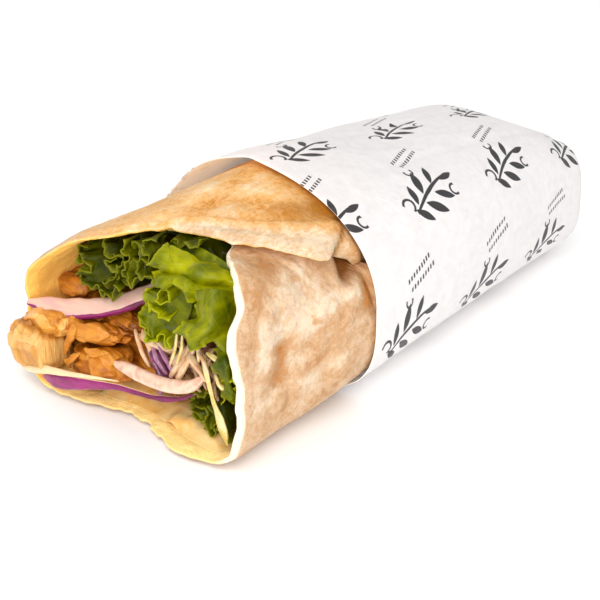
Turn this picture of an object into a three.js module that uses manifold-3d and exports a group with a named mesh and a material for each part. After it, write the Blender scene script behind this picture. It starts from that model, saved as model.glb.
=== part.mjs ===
// A chicken wrap: a flatbread rolled round its filling, lying on its side, with the back
// two thirds in a folded paper sleeve. The front end is open and shows chicken, lettuce,
// red onion, cabbage slaw and sauce.
//
// Millimetres, +Z up. While it is built, x runs along the roll from the lower lip of the
// mouth (x = 0) to the folded end of the paper, y runs across it towards the side where
// the far wall rises, and z is the height above the table. At the end the whole is moved
// so that the origin is the middle of its footprint.
import * as THREE from "three";
import { mergeVertices } from "three/addons/utils/BufferGeometryUtils.js";
import Module from "manifold-3d";

const wasm = await Module();
wasm.setup();

// ---------------------------------------------------------------- driving dimensions
const ROLL_LENGTH = 172; // lower lip of the mouth to the folded paper end
const SLEEVE_FRONT = 48.5; // where the paper begins
const SLEEVE_FRONT_SWAY = 2; // how far its front edge leans back on the near side
const PAPER_WALL = 0.6; // several layers of thin paper, wrapped
const PAPER_GAP = 0.5; // between the paper and the bread
const PAPER_FLARE = 4; // how far the paper stands off the bread at the far top of its edge
const BREAD_WALL = 2.5;
const BREAD_RIM = 0.62; // thickness left at the edge of the bread, as a share of its wall
const BREAD_BACK = 166; // where the roll ends inside the paper
const CLEARANCE = 0.4; // kept between two pieces that touch
const TABLE_GAP = 0.3; // the bread's lip above the table
const BREAD_INSET = PAPER_WALL + PAPER_GAP; // from the outside of the paper to the bread

// The outline of the roll at stations along it: half its width, its height, how far its
// middle is moved sideways, and how square each quarter of its section is (2 is round,
// 1 is a straight slope): near side below, far side below, far side above, near side above.
const STATIONS = [
  { x: -3, half: 42.4, height: 55.2, shift: -2, corner0: 6.5, corner1: 3.6, corner2: 1.62, corner3: 3.2 },
  { x: 20, half: 40.8, height: 57.8, shift: -2.2, corner0: 5.4, corner1: 3, corner2: 1.42, corner3: 3.5 },
  { x: 48, half: 43, height: 61.8, shift: -3.2, corner0: 3.3, corner1: 2.8, corner2: 1.24, corner3: 2.1 },
  { x: 100, half: 40, height: 57, shift: -3.5, corner0: 2.5, corner1: 2.8, corner2: 2, corner3: 2.5 },
  { x: 148, half: 34.8, height: 52, shift: -2.6, corner0: 2.5, corner1: 3.2, corner2: 2.4, corner3: 2.7 },
  { x: 172, half: 32.3, height: 42, shift: -1.2, corner0: 2.6, corner1: 4.2, corner2: 5, corner3: 4 },
];
const SINK = 1.5; // how much of the round section is pressed flat against the table

// Angles round the roll's middle, in degrees, from the near side down: 0 near side,
// 90 underneath, 180 far side, 270 top, 360 near side again. The bread starts under its
// own flap (its inner end) and ends in that flap.
const INNER_START = -70;
const FLAP_START = 310;
const INNER_END = [ // x and angle of the inner end: it comes out beside the paper
  { x: 14, at: -70 }, { x: 22, at: -62 }, { x: 30, at: -48 }, { x: 36, at: -32 },
  { x: 40, at: -16 }, { x: 44, at: -10 }, { x: 60, at: -9 }, { x: 166, at: -9 },
];
const FLAP_END = [ // the edge of the flap, torn beside the paper, then tucked in
  { x: 12, at: 305 }, { x: 16, at: 310 }, { x: 21.5, at: 318 }, { x: 29.5, at: 328.5 },
  { x: 37.5, at: 336 }, { x: 40.5, at: 334.5 }, { x: 42.5, at: 329.5 }, { x: 45, at: 325 },
  { x: 47, at: 328 }, { x: 50, at: 344 }, { x: 54, at: 352 }, { x: 166, at: 352 },
];
const CREASE = [ // the ridge along the flap
  { x: 13, at: 282 }, { x: 17.5, at: 292 }, { x: 21, at: 301 }, { x: 24.5, at: 308.5 },
  { x: 32.5, at: 317.5 }, { x: 41, at: 323 }, { x: 52, at: 326 },
];
const FLAP_TUCK = 9; // how deep its tail is tucked under the inner end

const RAD = Math.PI / 180;

// ---------------------------------------------------------------- small mathematics
const clamp = (t, low = 0, high = 1) => Math.min(high, Math.max(low, t));
const mix = (a, b, t) => a + (b - a) * t;
const ramp = (t, start, end) => {
  const s = clamp((t - start) / (end - start));
  return s * s * (3 - 2 * s);
};
const bell = (t, middle, width) => Math.exp(-(((t - middle) / width) ** 2));
const wave = (x, y, z, size, seed = 0) =>
  (Math.sin((x * 1.31 + y * 0.52) / size + seed) +
    Math.sin((y * 1.17 - z * 0.71) / size + 2.1 * seed + 1) +
    Math.sin((z * 1.43 + x * 0.37) / size + 3.7 * seed + 2)) /
  3;

// A smooth curve through (knot.x, knot[key]), with the slopes of a Catmull-Rom spline.
function along(knots, key, x) {
  const at = clamp(x, knots[0].x, knots[knots.length - 1].x);
  let i = 0;
  while (i < knots.length - 2 && at > knots[i + 1].x) i++;
  const [a, b] = [knots[i], knots[i + 1]];
  const slope = (j) => {
    const [p, n] = [knots[Math.max(0, j - 1)], knots[Math.min(knots.length - 1, j + 1)]];
    return (n[key] - p[key]) / (n.x - p.x);
  };
  const span = b.x - a.x;
  const t = (at - a.x) / span;
  return (
    (2 * t ** 3 - 3 * t ** 2 + 1) * a[key] +
    (t ** 3 - 2 * t ** 2 + t) * span * slope(i) +
    (-2 * t ** 3 + 3 * t ** 2) * b[key] +
    (t ** 3 - t ** 2) * span * slope(i + 1)
  );
}

// ---------------------------------------------------------------- the roll's surface
// A point of the section's outline at x, before it is pressed flat underneath.
function outline(angle, x) {
  const half = along(STATIONS, "half", x);
  const high = (along(STATIONS, "height", x) + SINK) / 2;
  const c = Math.cos(angle * RAD);
  const s = Math.sin(angle * RAD);
  const quarter = s < 0 ? (c < 0 ? 2 : 3) : c < 0 ? 1 : 0;
  const power = along(STATIONS, `corner${quarter}`, x);
  const reach = (Math.abs(c / half) ** power + Math.abs(s / high) ** power) ** (-1 / power);
  return [along(STATIONS, "shift", x) - reach * c, high - SINK - reach * s];
}

// The point at an angle and x that lies depth inside the outside of the roll. No point is
// lower than floor.
function skin(angle, x, depth, floor = depth) {
  const [y, z] = outline(angle, x);
  const [y0, z0] = outline(angle - 1.5, x);
  const [y1, z1] = outline(angle + 1.5, x);
  const length = Math.hypot(y1 - y0, z1 - z0);
  return new THREE.Vector3(
    x,
    y - (depth * (z1 - z0)) / length,
    Math.max(floor, z + (depth * (y1 - y0)) / length),
  );
}

// ---------------------------------------------------------------- solids
// A closed mesh as a solid for cutting and joining.
function solid(geometry) {
  const bare = geometry.index ? geometry.toNonIndexed() : geometry.clone();
  for (const name of Object.keys(bare.attributes)) {
    if (name !== "position") bare.deleteAttribute(name);
  }
  const merged = mergeVertices(bare, 1e-3);
  return new wasm.Manifold(
    new wasm.Mesh({
      numProp: 3,
      vertProperties: merged.attributes.position.array,
      triVerts: new Uint32Array(merged.index.array),
    }),
  );
}

// A solid as a mesh's geometry again: its largest body, without slivers.
function geometryOf(manifold) {
  const bodies = manifold.simplify(0.04).decompose();
  const largest = bodies.reduce((a, b) => (a.volume() > b.volume() ? a : b));
  const mesh = largest.getMesh();
  const geometry = new THREE.BufferGeometry();
  geometry.setAttribute("position", new THREE.BufferAttribute(mesh.vertProperties, 3));
  geometry.setIndex(new THREE.BufferAttribute(mesh.triVerts, 1));
  geometry.computeVertexNormals();
  return geometry;
}

// A closed surface from a grid of points: rows of equal length that are rings, with the
// first and the last ring each closed by a point.
function ringsGeometry(rows, first, last) {
  const count = rows[0].length;
  const positions = [...rows.flat(), first, last].flatMap((p) => [p.x, p.y, p.z]);
  const index = [];
  for (let i = 0; i < rows.length - 1; i++) {
    for (let j = 0; j < count; j++) {
      const [a, b] = [i * count + j, i * count + ((j + 1) % count)];
      index.push(a, b, a + count, b, b + count, a + count);
    }
  }
  const [start, end] = [rows.length * count, rows.length * count + 1];
  const lastRow = (rows.length - 1) * count;
  for (let j = 0; j < count; j++) {
    index.push(start, (j + 1) % count, j);
    index.push(end, lastRow + j, lastRow + ((j + 1) % count));
  }
  const geometry = new THREE.BufferGeometry();
  geometry.setAttribute("position", new THREE.Float32BufferAttribute(positions, 3));
  geometry.setIndex(index);
  return geometry;
}

// A slab that follows place(u, v) on both sides, thick(u, v) through. It has a closed rim.
function slabGeometry(place, thick, across, lengthwise) {
  const step = 1e-3;
  const point = (u, v, side) => {
    const [u0, u1] = [Math.max(0, u - step), Math.min(1, u + step)];
    const [v0, v1] = [Math.max(0, v - step), Math.min(1, v + step)];
    const du = place(u1, v).sub(place(u0, v));
    const dv = place(u, v1).sub(place(u, v0));
    const normal = du.cross(dv).normalize();
    return place(u, v).addScaledVector(normal, (side * thick(u, v)) / 2);
  };
  const positions = [];
  for (const side of [1, -1]) {
    for (let i = 0; i <= across; i++) {
      for (let j = 0; j <= lengthwise; j++) {
        positions.push(...point(i / across, j / lengthwise, side).toArray());
      }
    }
  }
  const row = lengthwise + 1;
  const back = (across + 1) * row;
  const index = [];
  for (let i = 0; i < across; i++) {
    for (let j = 0; j < lengthwise; j++) {
      const [a, b, c, d] = [i * row + j, (i + 1) * row + j, (i + 1) * row + j + 1, i * row + j + 1];
      index.push(a, b, c, a, c, d);
      index.push(back + a, back + c, back + b, back + a, back + d, back + c);
    }
  }
  const rim = [];
  for (let i = 0; i < across; i++) rim.push(i * row);
  for (let j = 0; j < lengthwise; j++) rim.push(across * row + j);
  for (let i = across; i > 0; i--) rim.push(i * row + lengthwise);
  for (let j = lengthwise; j > 0; j--) rim.push(j);
  rim.forEach((a, k) => {
    const b = rim[(k + 1) % rim.length];
    index.push(a, back + a, b, b, back + a, back + b);
  });
  const geometry = new THREE.BufferGeometry();
  geometry.setAttribute("position", new THREE.Float32BufferAttribute(positions, 3));
  geometry.setIndex(index);
  return geometry;
}

// ---------------------------------------------------------------- the flatbread
// How far back the bread's front edge is at an angle round the roll.
const LIP = [
  { x: -70, at: 19 },
  { x: -50, at: 17 },
  { x: -35, at: 8.5 },
  { x: -24, at: 5.6 },
  { x: -8, at: -0.4 },
  { x: 6, at: 0.4 },
  { x: 20, at: 2.6 },
  { x: 32, at: 3.4 },
  { x: 42, at: 0.4 },
  { x: 50, at: -2.4 },
  { x: 77, at: 1.2 },
  { x: 108, at: 1.3 },
  { x: 135, at: -3 },
  { x: 148, at: -5.4 },
  { x: 160, at: -2.6 },
  { x: 172, at: 0.6 },
  { x: 190, at: -0.6 },
  { x: 220, at: 1.2 },
  { x: 245, at: 1.2 },
  { x: 262, at: 2.6 },
  { x: 276, at: 8 },
  { x: 293, at: 13.2 },
  { x: 310, at: 17 },
];

// How deep the middle of the bread's thickness lies. Its inner end lies under the flap, and
// the tail of the flap is tucked in under that end. A ridge runs along the flap.
function breadDepth(angle, x, wall) {
  const flap = along(FLAP_END, "at", x) - 360;
  const under = (1 - ramp(angle, flap + 1, flap + 13)) * (1 - ramp(x, 33, 41));
  const tucked = ramp(angle, 322, 340) * ramp(x, 44, 48.5);
  const crease = bell(angle, along(CREASE, "at", x), 5) * ramp(x, 9, 16) * (1 - ramp(x, 44, 52));
  return BREAD_INSET + wall / 2 + under * (wall + 1.2) + tucked * FLAP_TUCK - crease * 1.2;
}

// The bread's grid is finest at its lip, at its two long edges and beside the paper.
const BREAD_STOPS = [0, 1, 3, 6.5, 11, 16, 21, 26, 31, 35, 38, 40.5, 42.5, 45, 49, 57, 75, 105, 138, BREAD_BACK];
const LIP_REACH = 34; // how far back the lip's own waves are felt in the grid
const BREAD_COLUMNS = [
  ...Array.from({ length: 14 }, (_, k) => mix(0, 0.22, k / 14)),
  ...Array.from({ length: 26 }, (_, k) => mix(0.22, 0.78, k / 26)),
  ...Array.from({ length: 21 }, (_, k) => mix(0.78, 1, k / 20)),
];

// A value between the entries of a list, at a share of the way through it.
function between(list, share) {
  const at = clamp(share) * (list.length - 1);
  const k = Math.min(list.length - 2, Math.floor(at));
  return mix(list[k], list[k + 1], at - k);
}

function breadPlace(across, lengthwise, wall, extra) {
  const u = between(BREAD_COLUMNS, across);
  const stops = BREAD_STOPS.length - 1;
  const stop = between(BREAD_STOPS, lengthwise) - extra * (1 - clamp(lengthwise * stops));
  const lip = mix(INNER_START, FLAP_START, u);
  const x = stop + along(LIP, "at", lip) * (1 - clamp(stop / LIP_REACH));
  const angle =
    lip +
    (along(INNER_END, "at", x) - INNER_START) * (1 - ramp(u, 0, 0.36)) +
    (along(FLAP_END, "at", x) - FLAP_START) * ramp(u, 0.78, 1);
  const depth = breadDepth(angle, x, wall);
  const floor = mix(TABLE_GAP, BREAD_INSET, ramp(x, 15, 45)) + wall / 2;
  const settled = skin(angle, x, depth, floor);
  // Shallow blisters and hollows of a bread baked on a hot plate.
  const relief = 0.5 * wave(x, settled.y, settled.z, 5.5) * ramp(settled.z, 3, 12);
  return settled.add(skin(angle, x, depth + relief, floor).sub(skin(angle, x, depth, floor)));
}

function breadGeometry(extra = 0) {
  const [columns, stops] = [BREAD_COLUMNS.length - 1, BREAD_STOPS.length - 1];
  const thick = (u, v) => {
    const edge = Math.min(u, 1 - u) * columns;
    return BREAD_WALL * mix(BREAD_RIM, 1, clamp(Math.min(edge, v * stops))) + extra;
  };
  return slabGeometry((u, v) => breadPlace(u, v, BREAD_WALL, extra), thick, columns, stops);
}

// ---------------------------------------------------------------- the paper sleeve
// How far the paper stands out from the roll near its front edge.
const flare = (angle, x) =>
  PAPER_FLARE * bell(angle, 232, 36) * (1 - ramp(x, SLEEVE_FRONT - 4, SLEEVE_FRONT + 42));

function sleeveRing(count, x, depth) {
  return Array.from({ length: count }, (_, k) => {
    const angle = (360 * k) / count;
    const sway = SLEEVE_FRONT_SWAY * Math.cos((angle - 45) * RAD);
    const lean = 1 - ramp(x, SLEEVE_FRONT, SLEEVE_FRONT + 30);
    return skin(angle, x + sway * lean, depth - flare(angle, x), depth);
  });
}

// The sleeve's end: the outline drawn together to a low ridge where the paper is folded.
function endRing(count, share, x, depth) {
  const ring = sleeveRing(count, ROLL_LENGTH, depth);
  const middle = new THREE.Vector3(ROLL_LENGTH, along(STATIONS, "shift", ROLL_LENGTH), 20);
  return ring.map((p) => {
    const q = p.clone().lerp(middle, 1 - share);
    q.x = x;
    return q;
  });
}

function sleeveGeometry(extra = 0) {
  const count = 48;
  const stops = [0, 5, 13, 24, 40, 60, 80, 99, 113, 123.5];
  const outside = stops.map((s) => sleeveRing(count, SLEEVE_FRONT + s, 0));
  const inside = stops.map((s) => sleeveRing(count, SLEEVE_FRONT + s - (s > 120 ? 1 : 0), PAPER_WALL + extra));
  outside.push(endRing(count, 0.93, ROLL_LENGTH + 1.2, 0), endRing(count, 0.5, ROLL_LENGTH + 2, 0));
  inside.push(endRing(count, 0.5, ROLL_LENGTH + 2 - 2 * PAPER_WALL, PAPER_WALL));
  const middle = new THREE.Vector3(ROLL_LENGTH + 2, -3.5, 20);
  const outer = middle.clone();
  const inner = middle.clone().setX(middle.x - 2 * PAPER_WALL);
  // One closed surface: from the middle of the end forward along the inside, round the
  // front edge, and back along the outside.
  return ringsGeometry([...inside.reverse(), ...outside], inner, outer);
}

// ---------------------------------------------------------------- fillings
// The space inside the roll, from x = start to x = end. Its two ends bulge a little.
function insideGeometry(start, end, seed, extra = 0) {
  const count = 28;
  const depthAt = (angle, x) => {
    // The bread is doubled under the flap, and the flap's tail is tucked in further back.
    const doubled = bell(angle, 305, 40) + bell(angle, -55, 40);
    const tail = bell(angle, 335, 26) + bell(angle, -25, 26);
    return BREAD_INSET + BREAD_WALL + 1.4 - extra + 4.4 * clamp(doubled) + 14 * ramp(x, 34, 44) * clamp(tail);
  };
  const ring = (x, share) =>
    Array.from({ length: count }, (_, k) => {
      const angle = (360 * k) / count;
      const middle = new THREE.Vector3(x, along(STATIONS, "shift", x), 27);
      const p = skin(angle, x, depthAt(angle, x)).lerp(middle, 1 - share);
      p.x += 1.4 * wave(0, p.y, p.z, 3.2, seed);
      return p;
    });
  const stops = Array.from({ length: 6 }, (_, k) => mix(start, end, k / 5));
  const rows = [
    ring(start - 2.2 - extra, 0.35),
    ring(start - 1.6 - extra, 0.7),
    ...stops.map((x) => ring(x, 1)),
    ring(end + 1 + extra, 0.6),
  ];
  const middle = (x) => new THREE.Vector3(x, along(STATIONS, "shift", x), 27);
  return ringsGeometry(rows, middle(start - 2.6 - extra), middle(end + 1.5 + extra));
}

// A prism along the roll whose section is a polygon of (y, z) corners, each moved outwards
// by extra.
function prismGeometry(corners, extra = 0) {
  const middle = corners.reduce((sum, [y, z]) => [sum[0] + y, sum[1] + z], [0, 0]);
  const outward = (at, k) => at + extra * Math.sign(at - middle[k] / corners.length);
  const shape = new THREE.Shape(
    corners.map(([y, z]) => new THREE.Vector2(outward(y, 0), outward(z, 1))),
  );
  const geometry = new THREE.ExtrudeGeometry(shape, { depth: 240, bevelEnabled: false });
  // The shape's x, y and depth become y, z and x.
  geometry.applyMatrix4(new THREE.Matrix4().set(0, 0, 1, -30, 1, 0, 0, 0, 0, 1, 0, 0, 0, 0, 0, 1));
  return geometry;
}

// A torn lump of meat: a rounded body with uneven, fibrous relief.
function lumpGeometry({ at, size, turn = [0, 0, 0], seed, rough = 0.16, extra = 0, detail = 2 }) {
  const geometry = new THREE.IcosahedronGeometry(1, detail);
  const position = geometry.attributes.position;
  const point = new THREE.Vector3();
  for (let i = 0; i < position.count; i++) {
    point.fromBufferAttribute(position, i).normalize();
    const bump =
      1 +
      rough * wave(point.x, point.y, point.z, 0.42, seed) +
      rough * 0.6 * wave(point.x, point.y, point.z, 0.2, seed + 5);
    point.multiplyScalar(bump);
    point.set(
      Math.sign(point.x) * Math.abs(point.x) ** 0.86 * (size[0] + extra),
      Math.sign(point.y) * Math.abs(point.y) ** 0.86 * (size[1] + extra),
      Math.sign(point.z) * Math.abs(point.z) ** 0.86 * (size[2] + extra),
    );
    position.setXYZ(i, point.x, point.y, point.z);
  }
  const spin = new THREE.Euler(...turn.map((t) => t * RAD));
  geometry.applyMatrix4(new THREE.Matrix4().makeRotationFromEuler(spin));
  geometry.translate(...at);
  return geometry;
}

// A strip of one section swept along a smooth route, narrower at both ends. width lies
// along side, thick across it.
function stripGeometry({ route, width, thick, side, extra = 0, steps = 12, sides = 6 }) {
  const curve = new THREE.CatmullRomCurve3(route.map((p) => new THREE.Vector3(...p)));
  const across = new THREE.Vector3(...side).normalize();
  const rows = [];
  for (let i = 0; i <= steps; i++) {
    const t = i / steps;
    const centre = curve.getPoint(t);
    const ahead = curve.getTangent(t);
    const flat = across.clone().addScaledVector(ahead, -across.dot(ahead)).normalize();
    const up = new THREE.Vector3().crossVectors(ahead, flat);
    const taper = 0.35 + 0.65 * Math.sin(Math.PI * clamp(0.06 + 0.9 * t)) ** 0.6;
    const [w, h] = [(width * taper + extra) / 2, (thick * taper + extra) / 2];
    rows.push(
      Array.from({ length: sides }, (_, k) => {
        const a = (2 * Math.PI * k) / sides;
        const round = (c, size) => size * Math.sign(c) * Math.abs(c) ** 0.7;
        return centre
          .clone()
          .addScaledVector(flat, round(Math.cos(a), w))
          .addScaledVector(up, round(Math.sin(a), h));
      }),
    );
  }
  const tip = (t, outward) =>
    curve.getPoint(t).addScaledVector(curve.getTangent(t), outward * (0.4 + extra / 2));
  return ringsGeometry(rows, tip(0, -1), tip(1, 1));
}

// A leaf: a strip of blade along its rib, bent, with an edge that frills.
function leafGeometry({ root, tip, side, width, arch, frill, waves, seed, wall = 0.8, extra = 0, grid = [8, 10] }) {
  const start = new THREE.Vector3(...root);
  const rib = new THREE.Vector3(...tip).sub(start);
  const length = rib.length();
  const ahead = rib.clone().normalize();
  const across = new THREE.Vector3(...side);
  across.addScaledVector(ahead, -across.dot(ahead)).normalize();
  const up = new THREE.Vector3().crossVectors(ahead, across);
  const place = (i, j) => {
    const s = (2 * i - 1) * (1 + extra / width);
    const v = 0.5 + (j - 0.5) * (1 + extra / length);
    const reach = (width / 2) * (0.55 + 0.45 * Math.sin(Math.PI * (0.15 + 0.7 * v)));
    const edge = Math.max(Math.min(1, Math.abs(s)) ** 2.2, ramp(v, 0.55, 1) ** 1.5);
    const ripple = Math.sin(waves * (v * 6.3 + 1.7 * s) + seed) + 0.5 * Math.sin(waves * 2.3 * (v + 0.8 * s) * 5 + 2 * seed);
    return start
      .clone()
      .addScaledVector(ahead, length * v + 0.12 * length * Math.sin(waves * 3 * s + seed) * v * Math.abs(v))
      .addScaledVector(across, reach * s * (1 + 0.1 * Math.sin(waves * 7 * v + seed)))
      .addScaledVector(up, arch * Math.sin(Math.PI * v) - 0.35 * arch * s * s + frill * edge * ripple);
  };
  return slabGeometry(place, () => wall + extra, ...grid);
}

// ---------------------------------------------------------------- what shows in the mouth
const CHICKEN = [
  { at: [-0.8, 33.2, 12.5], size: [6.8, 7.8, 7.4], turn: [12, 0, 10], seed: 1 },
  { at: [5, 31.5, 19.4], size: [7, 8, 3.8], turn: [-14, 8, -8], seed: 2 },
  { at: [7, 15, 19.4], size: [6.5, 10, 3.9], turn: [-6, 12, 6], seed: 3 },
  { at: [5, 12.8, 11.9], size: [7, 10.4, 5.2], turn: [-10, 0, -12], seed: 4 },
  { at: [13, 9.5, 23], size: [5.5, 6, 3.6], turn: [8, 0, 20], seed: 5 },
  { at: [12.5, 28.5, 27.8], size: [6, 6.8, 3.2], turn: [-10, 0, 0], seed: 6 },
];

const ONION = {
  upper: {
    route: [[-1, 37.2, 23.9], [1.8, 28, 24.6], [4.4, 17.5, 26.2], [7.6, 8, 29.5], [11.5, -1, 34.5], [16, -8, 39]],
    width: 5.4,
    thick: 2.6,
    side: [0.62, 0.35, 0.7],
  },
  lower: {
    route: [[-3.6, 34, 4.4], [-4.4, 24, 5.2], [-2.8, 10, 8], [0, -2, 10.6], [2.2, -11.5, 11.4], [5, -20, 13.6]],
    width: 4.6,
    thick: 2.2,
    side: [0.15, 0.1, 1],
  },
};

const CABBAGE = {
  thick: {
    route: [[1.4, 1.5, 14.8], [1.6, -7.3, 16.2], [1.6, -15.8, 16.6], [3, -23.2, 19.3], [5.4, -28.3, 22.6]],
    width: 3.8,
    thick: 2.4,
    side: [0.5, 0.2, 0.8],
  },
  broad: {
    route: [[6, -14, 19.4], [7.4, -17.6, 23.2], [10.5, -18.4, 26.6]],
    width: 4.4,
    thick: 1.8,
    side: [0.2, 1, 0],
  },
  long: {
    route: [[5, -27.8, 27.6], [2.2, -31.6, 22.2], [0.6, -33.6, 15.2], [1.2, -35, 10.6], [2.8, -35.4, 5.8]],
    width: 3.2,
    thick: 1.5,
    side: [0.1, 1, 0.2],
  },
  purple: {
    route: [[8, -4, 20.6], [5.6, -9.8, 19], [4.6, -12.2, 14.4], [4.6, -13.6, 11.4]],
    width: 3.4,
    thick: 1.6,
    side: [0.6, 0.3, 0.5],
  },
};

const LETTUCE = {
  far: { root: [26, 8, 44], tip: [9.5, 26, 34], side: [0.2, -0.6, -0.9], width: 23, arch: 2, frill: 1.9, waves: 1.5, seed: 1 },
  deep: { root: [30, -26, 44], tip: [17, -4, 47], side: [0.5, 0, 1], width: 9, arch: 1, frill: 1, waves: 1.2, seed: 6 },
  upper: { root: [18, -32, 43], tip: [6.5, -6, 47], side: [0.45, 0.35, 0.9], width: 13, arch: 2.6, frill: 1, waves: 0.8, seed: 2 },
  middle: { root: [13, -35.4, 35], tip: [3, -4.5, 32.4], side: [0.2, 0.1, 1], width: 20, arch: 3, frill: 1.9, waves: 1.3, seed: 3 },
  side: { root: [12, -35.2, 25.4], tip: [4.4, -34.6, 15], side: [0.5, 1, 0.1], width: 9, arch: 1.2, frill: 0.9, waves: 1.2, seed: 4 },
  low: { root: [13, -30, 16], tip: [4.8, -29.5, 7.6], side: [0.2, 1, 0.1], width: 15, arch: 1, frill: 1.3, waves: 1.5, seed: 5 },
};

// The filling behind what shows, split lengthwise: the section's parts as (y, z) corners.
const SHARES = {
  chicken: { start: 13, corners: [[0.3, -5], [60, -5], [60, 28.8], [0.3, 24.8]] },
  slaw: { start: 15, corners: [[-60, -5], [-0.3, -5], [-0.3, 24.8], [-60, 21.8]] },
  lettuce: { start: 22, corners: [[-60, 22.4], [0, 25.4], [60, 29.4], [60, 90], [-60, 90]] },
};

// Sauce spread on the bread's inside below, from the lip inwards.
function sauceGeometry(extra = 0) {
  const wall = 1.5;
  const place = (i, j) => {
    const [u, v] = [0.5 + (i - 0.5) * (1 + extra / 60), 0.5 + (j - 0.5) * (1 + extra / 25)];
    const angle = mix(44, 118, u);
    const front = along(LIP, "at", angle) + 3.2 + 1.5 * Math.sin(u * 9);
    const x = mix(front, 26, v);
    const floor = mix(TABLE_GAP, BREAD_INSET, ramp(x, 15, 45)) + BREAD_WALL + 0.6;
    const depth = BREAD_INSET + BREAD_WALL + 1.5 + wall / 2;
    const p = skin(angle, x, depth, floor + wall / 2);
    p.z += 0.5 * (1 + Math.sin(u * 8 + v * 3)) * Math.sin(Math.PI * v);
    return p;
  };
  const thick = (u, v) => wall * mix(0.4, 1, clamp(8 * Math.min(u, 1 - u, v, 1 - v))) + extra;
  return slabGeometry(place, thick, 14, 8);
}

// ---------------------------------------------------------------- assembly
const FINISH = {
  bread: { color: 0xe8c79a, roughness: 0.75 },
  paper: { color: 0xf4f1ef, roughness: 0.62 },
  chicken: { color: 0xcf8f4c, roughness: 0.5 },
  lettuce: { color: 0x86a834, roughness: 0.42 },
  lettuce_dark: { color: 0x4f7a26, roughness: 0.45 },
  onion: { color: 0xd9a8c6, roughness: 0.35 },
  onion_skin: { color: 0x8e2f78, roughness: 0.32 },
  cabbage: { color: 0xeadcc0, roughness: 0.4 },
  cabbage_purple: { color: 0x6d2f74, roughness: 0.4 },
  slaw: { color: 0xe2c8b4, roughness: 0.4 },
  sauce: { color: 0xdfa55c, roughness: 0.22 },
};

const wrap = new THREE.Group();
const placed = []; // each solid so far, grown by the clearance

// Adds a piece cut clear of those before it. grown is the same shape, larger all round.
function add(name, finish, geometry, grown) {
  let body = solid(geometry);
  for (const other of placed) body = body.subtract(other);
  const mesh = new THREE.Mesh(
    geometryOf(body),
    new THREE.MeshStandardMaterial({ ...FINISH[finish], metalness: 0 }),
  );
  mesh.name = name;
  wrap.add(mesh);
  if (grown) placed.push(solid(grown));
}

const spread = 2 * CLEARANCE;
add("paper_sleeve", "paper", sleeveGeometry(), sleeveGeometry(0.25));
add("flatbread", "bread", breadGeometry(), breadGeometry(spread));
add("sauce", "sauce", sauceGeometry(), sauceGeometry(spread));
for (const [name, { start, corners }] of Object.entries(SHARES)) {
  const [share, grown] = [0, CLEARANCE].map((extra) => {
    const space = solid(insideGeometry(start, BREAD_BACK - 8, start, extra));
    return geometryOf(space.intersect(solid(prismGeometry(corners, extra))));
  });
  add(`${name}_filling`, name, share, grown);
}
for (const [key, strip] of Object.entries(ONION)) {
  const finish = key === "lower" ? "onion_skin" : "onion";
  add(`onion_${key}`, finish, stripGeometry(strip), stripGeometry({ ...strip, extra: spread }));
}
for (const [key, strip] of Object.entries(CABBAGE)) {
  const finish = key === "purple" ? "cabbage_purple" : "cabbage";
  add(`cabbage_${key}`, finish, stripGeometry(strip), stripGeometry({ ...strip, extra: spread }));
}
CHICKEN.forEach((lump, i) => {
  add(`chicken_${i + 1}`, "chicken", lumpGeometry(lump), lumpGeometry({ ...lump, extra: CLEARANCE }));
});
for (const [key, leaf] of Object.entries(LETTUCE)) {
  const finish = key === "far" || key === "deep" || key === "low" ? "lettuce_dark" : "lettuce";
  add(`lettuce_${key}`, finish, leafGeometry(leaf), leafGeometry({ ...leaf, extra: spread }));
}

// The origin goes to the middle of the footprint, on the table.
const bounds = new THREE.Box3().setFromObject(wrap);
wrap.position.set(
  -(bounds.min.x + bounds.max.x) / 2,
  -(bounds.min.y + bounds.max.y) / 2,
  -bounds.min.z,
);

export default wrap;
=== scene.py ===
"""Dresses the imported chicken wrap: flatbread, filling, sauce and paper sleeve.

The shapes follow the same named sizes as the part's source. They are worked out in
millimetres in the roll's own frame (x along the roll from its open mouth, y across it,
z above the table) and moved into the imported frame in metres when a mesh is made.
"""

import logging
import math
from collections.abc import Sequence
from dataclasses import dataclass
from enum import Enum

import bmesh
import bpy
import numpy as np
from mathutils import Matrix, Vector

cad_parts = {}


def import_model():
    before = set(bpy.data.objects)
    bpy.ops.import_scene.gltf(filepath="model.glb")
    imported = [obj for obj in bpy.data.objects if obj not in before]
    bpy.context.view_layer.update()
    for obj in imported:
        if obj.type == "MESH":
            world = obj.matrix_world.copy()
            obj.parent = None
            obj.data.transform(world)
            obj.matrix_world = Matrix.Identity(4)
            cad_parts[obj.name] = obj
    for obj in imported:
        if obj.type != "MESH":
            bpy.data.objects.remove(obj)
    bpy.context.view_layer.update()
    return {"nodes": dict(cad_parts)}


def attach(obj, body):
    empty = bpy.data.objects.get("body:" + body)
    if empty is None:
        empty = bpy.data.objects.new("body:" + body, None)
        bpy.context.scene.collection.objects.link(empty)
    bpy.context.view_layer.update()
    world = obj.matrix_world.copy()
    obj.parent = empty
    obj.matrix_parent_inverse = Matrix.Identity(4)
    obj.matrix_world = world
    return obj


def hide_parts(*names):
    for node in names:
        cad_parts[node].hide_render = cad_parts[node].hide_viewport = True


Array = np.ndarray
Colour = tuple[float, float, float]
Point = tuple[float, float, float]
Path = tuple[Point, ...]
Curve = tuple[tuple[float, float], ...]
Spots = tuple[tuple[float, float, float, float, float], ...]
Swells = tuple[tuple[float, float, float, float], ...]
Shreds = tuple[tuple[float, float, float, Path], ...]  # width, thickness, seed and path

LOG = logging.getLogger("wrap")
MM = 0.001
ROLL_ORIGIN = (-83.374, 2.434, 0.0)  # the roll frame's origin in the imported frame, mm
TURN = 2 * math.pi
BODY = "root"
MM_ROUND = 0.7  # about how many mm a degree is on the roll's outside


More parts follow.
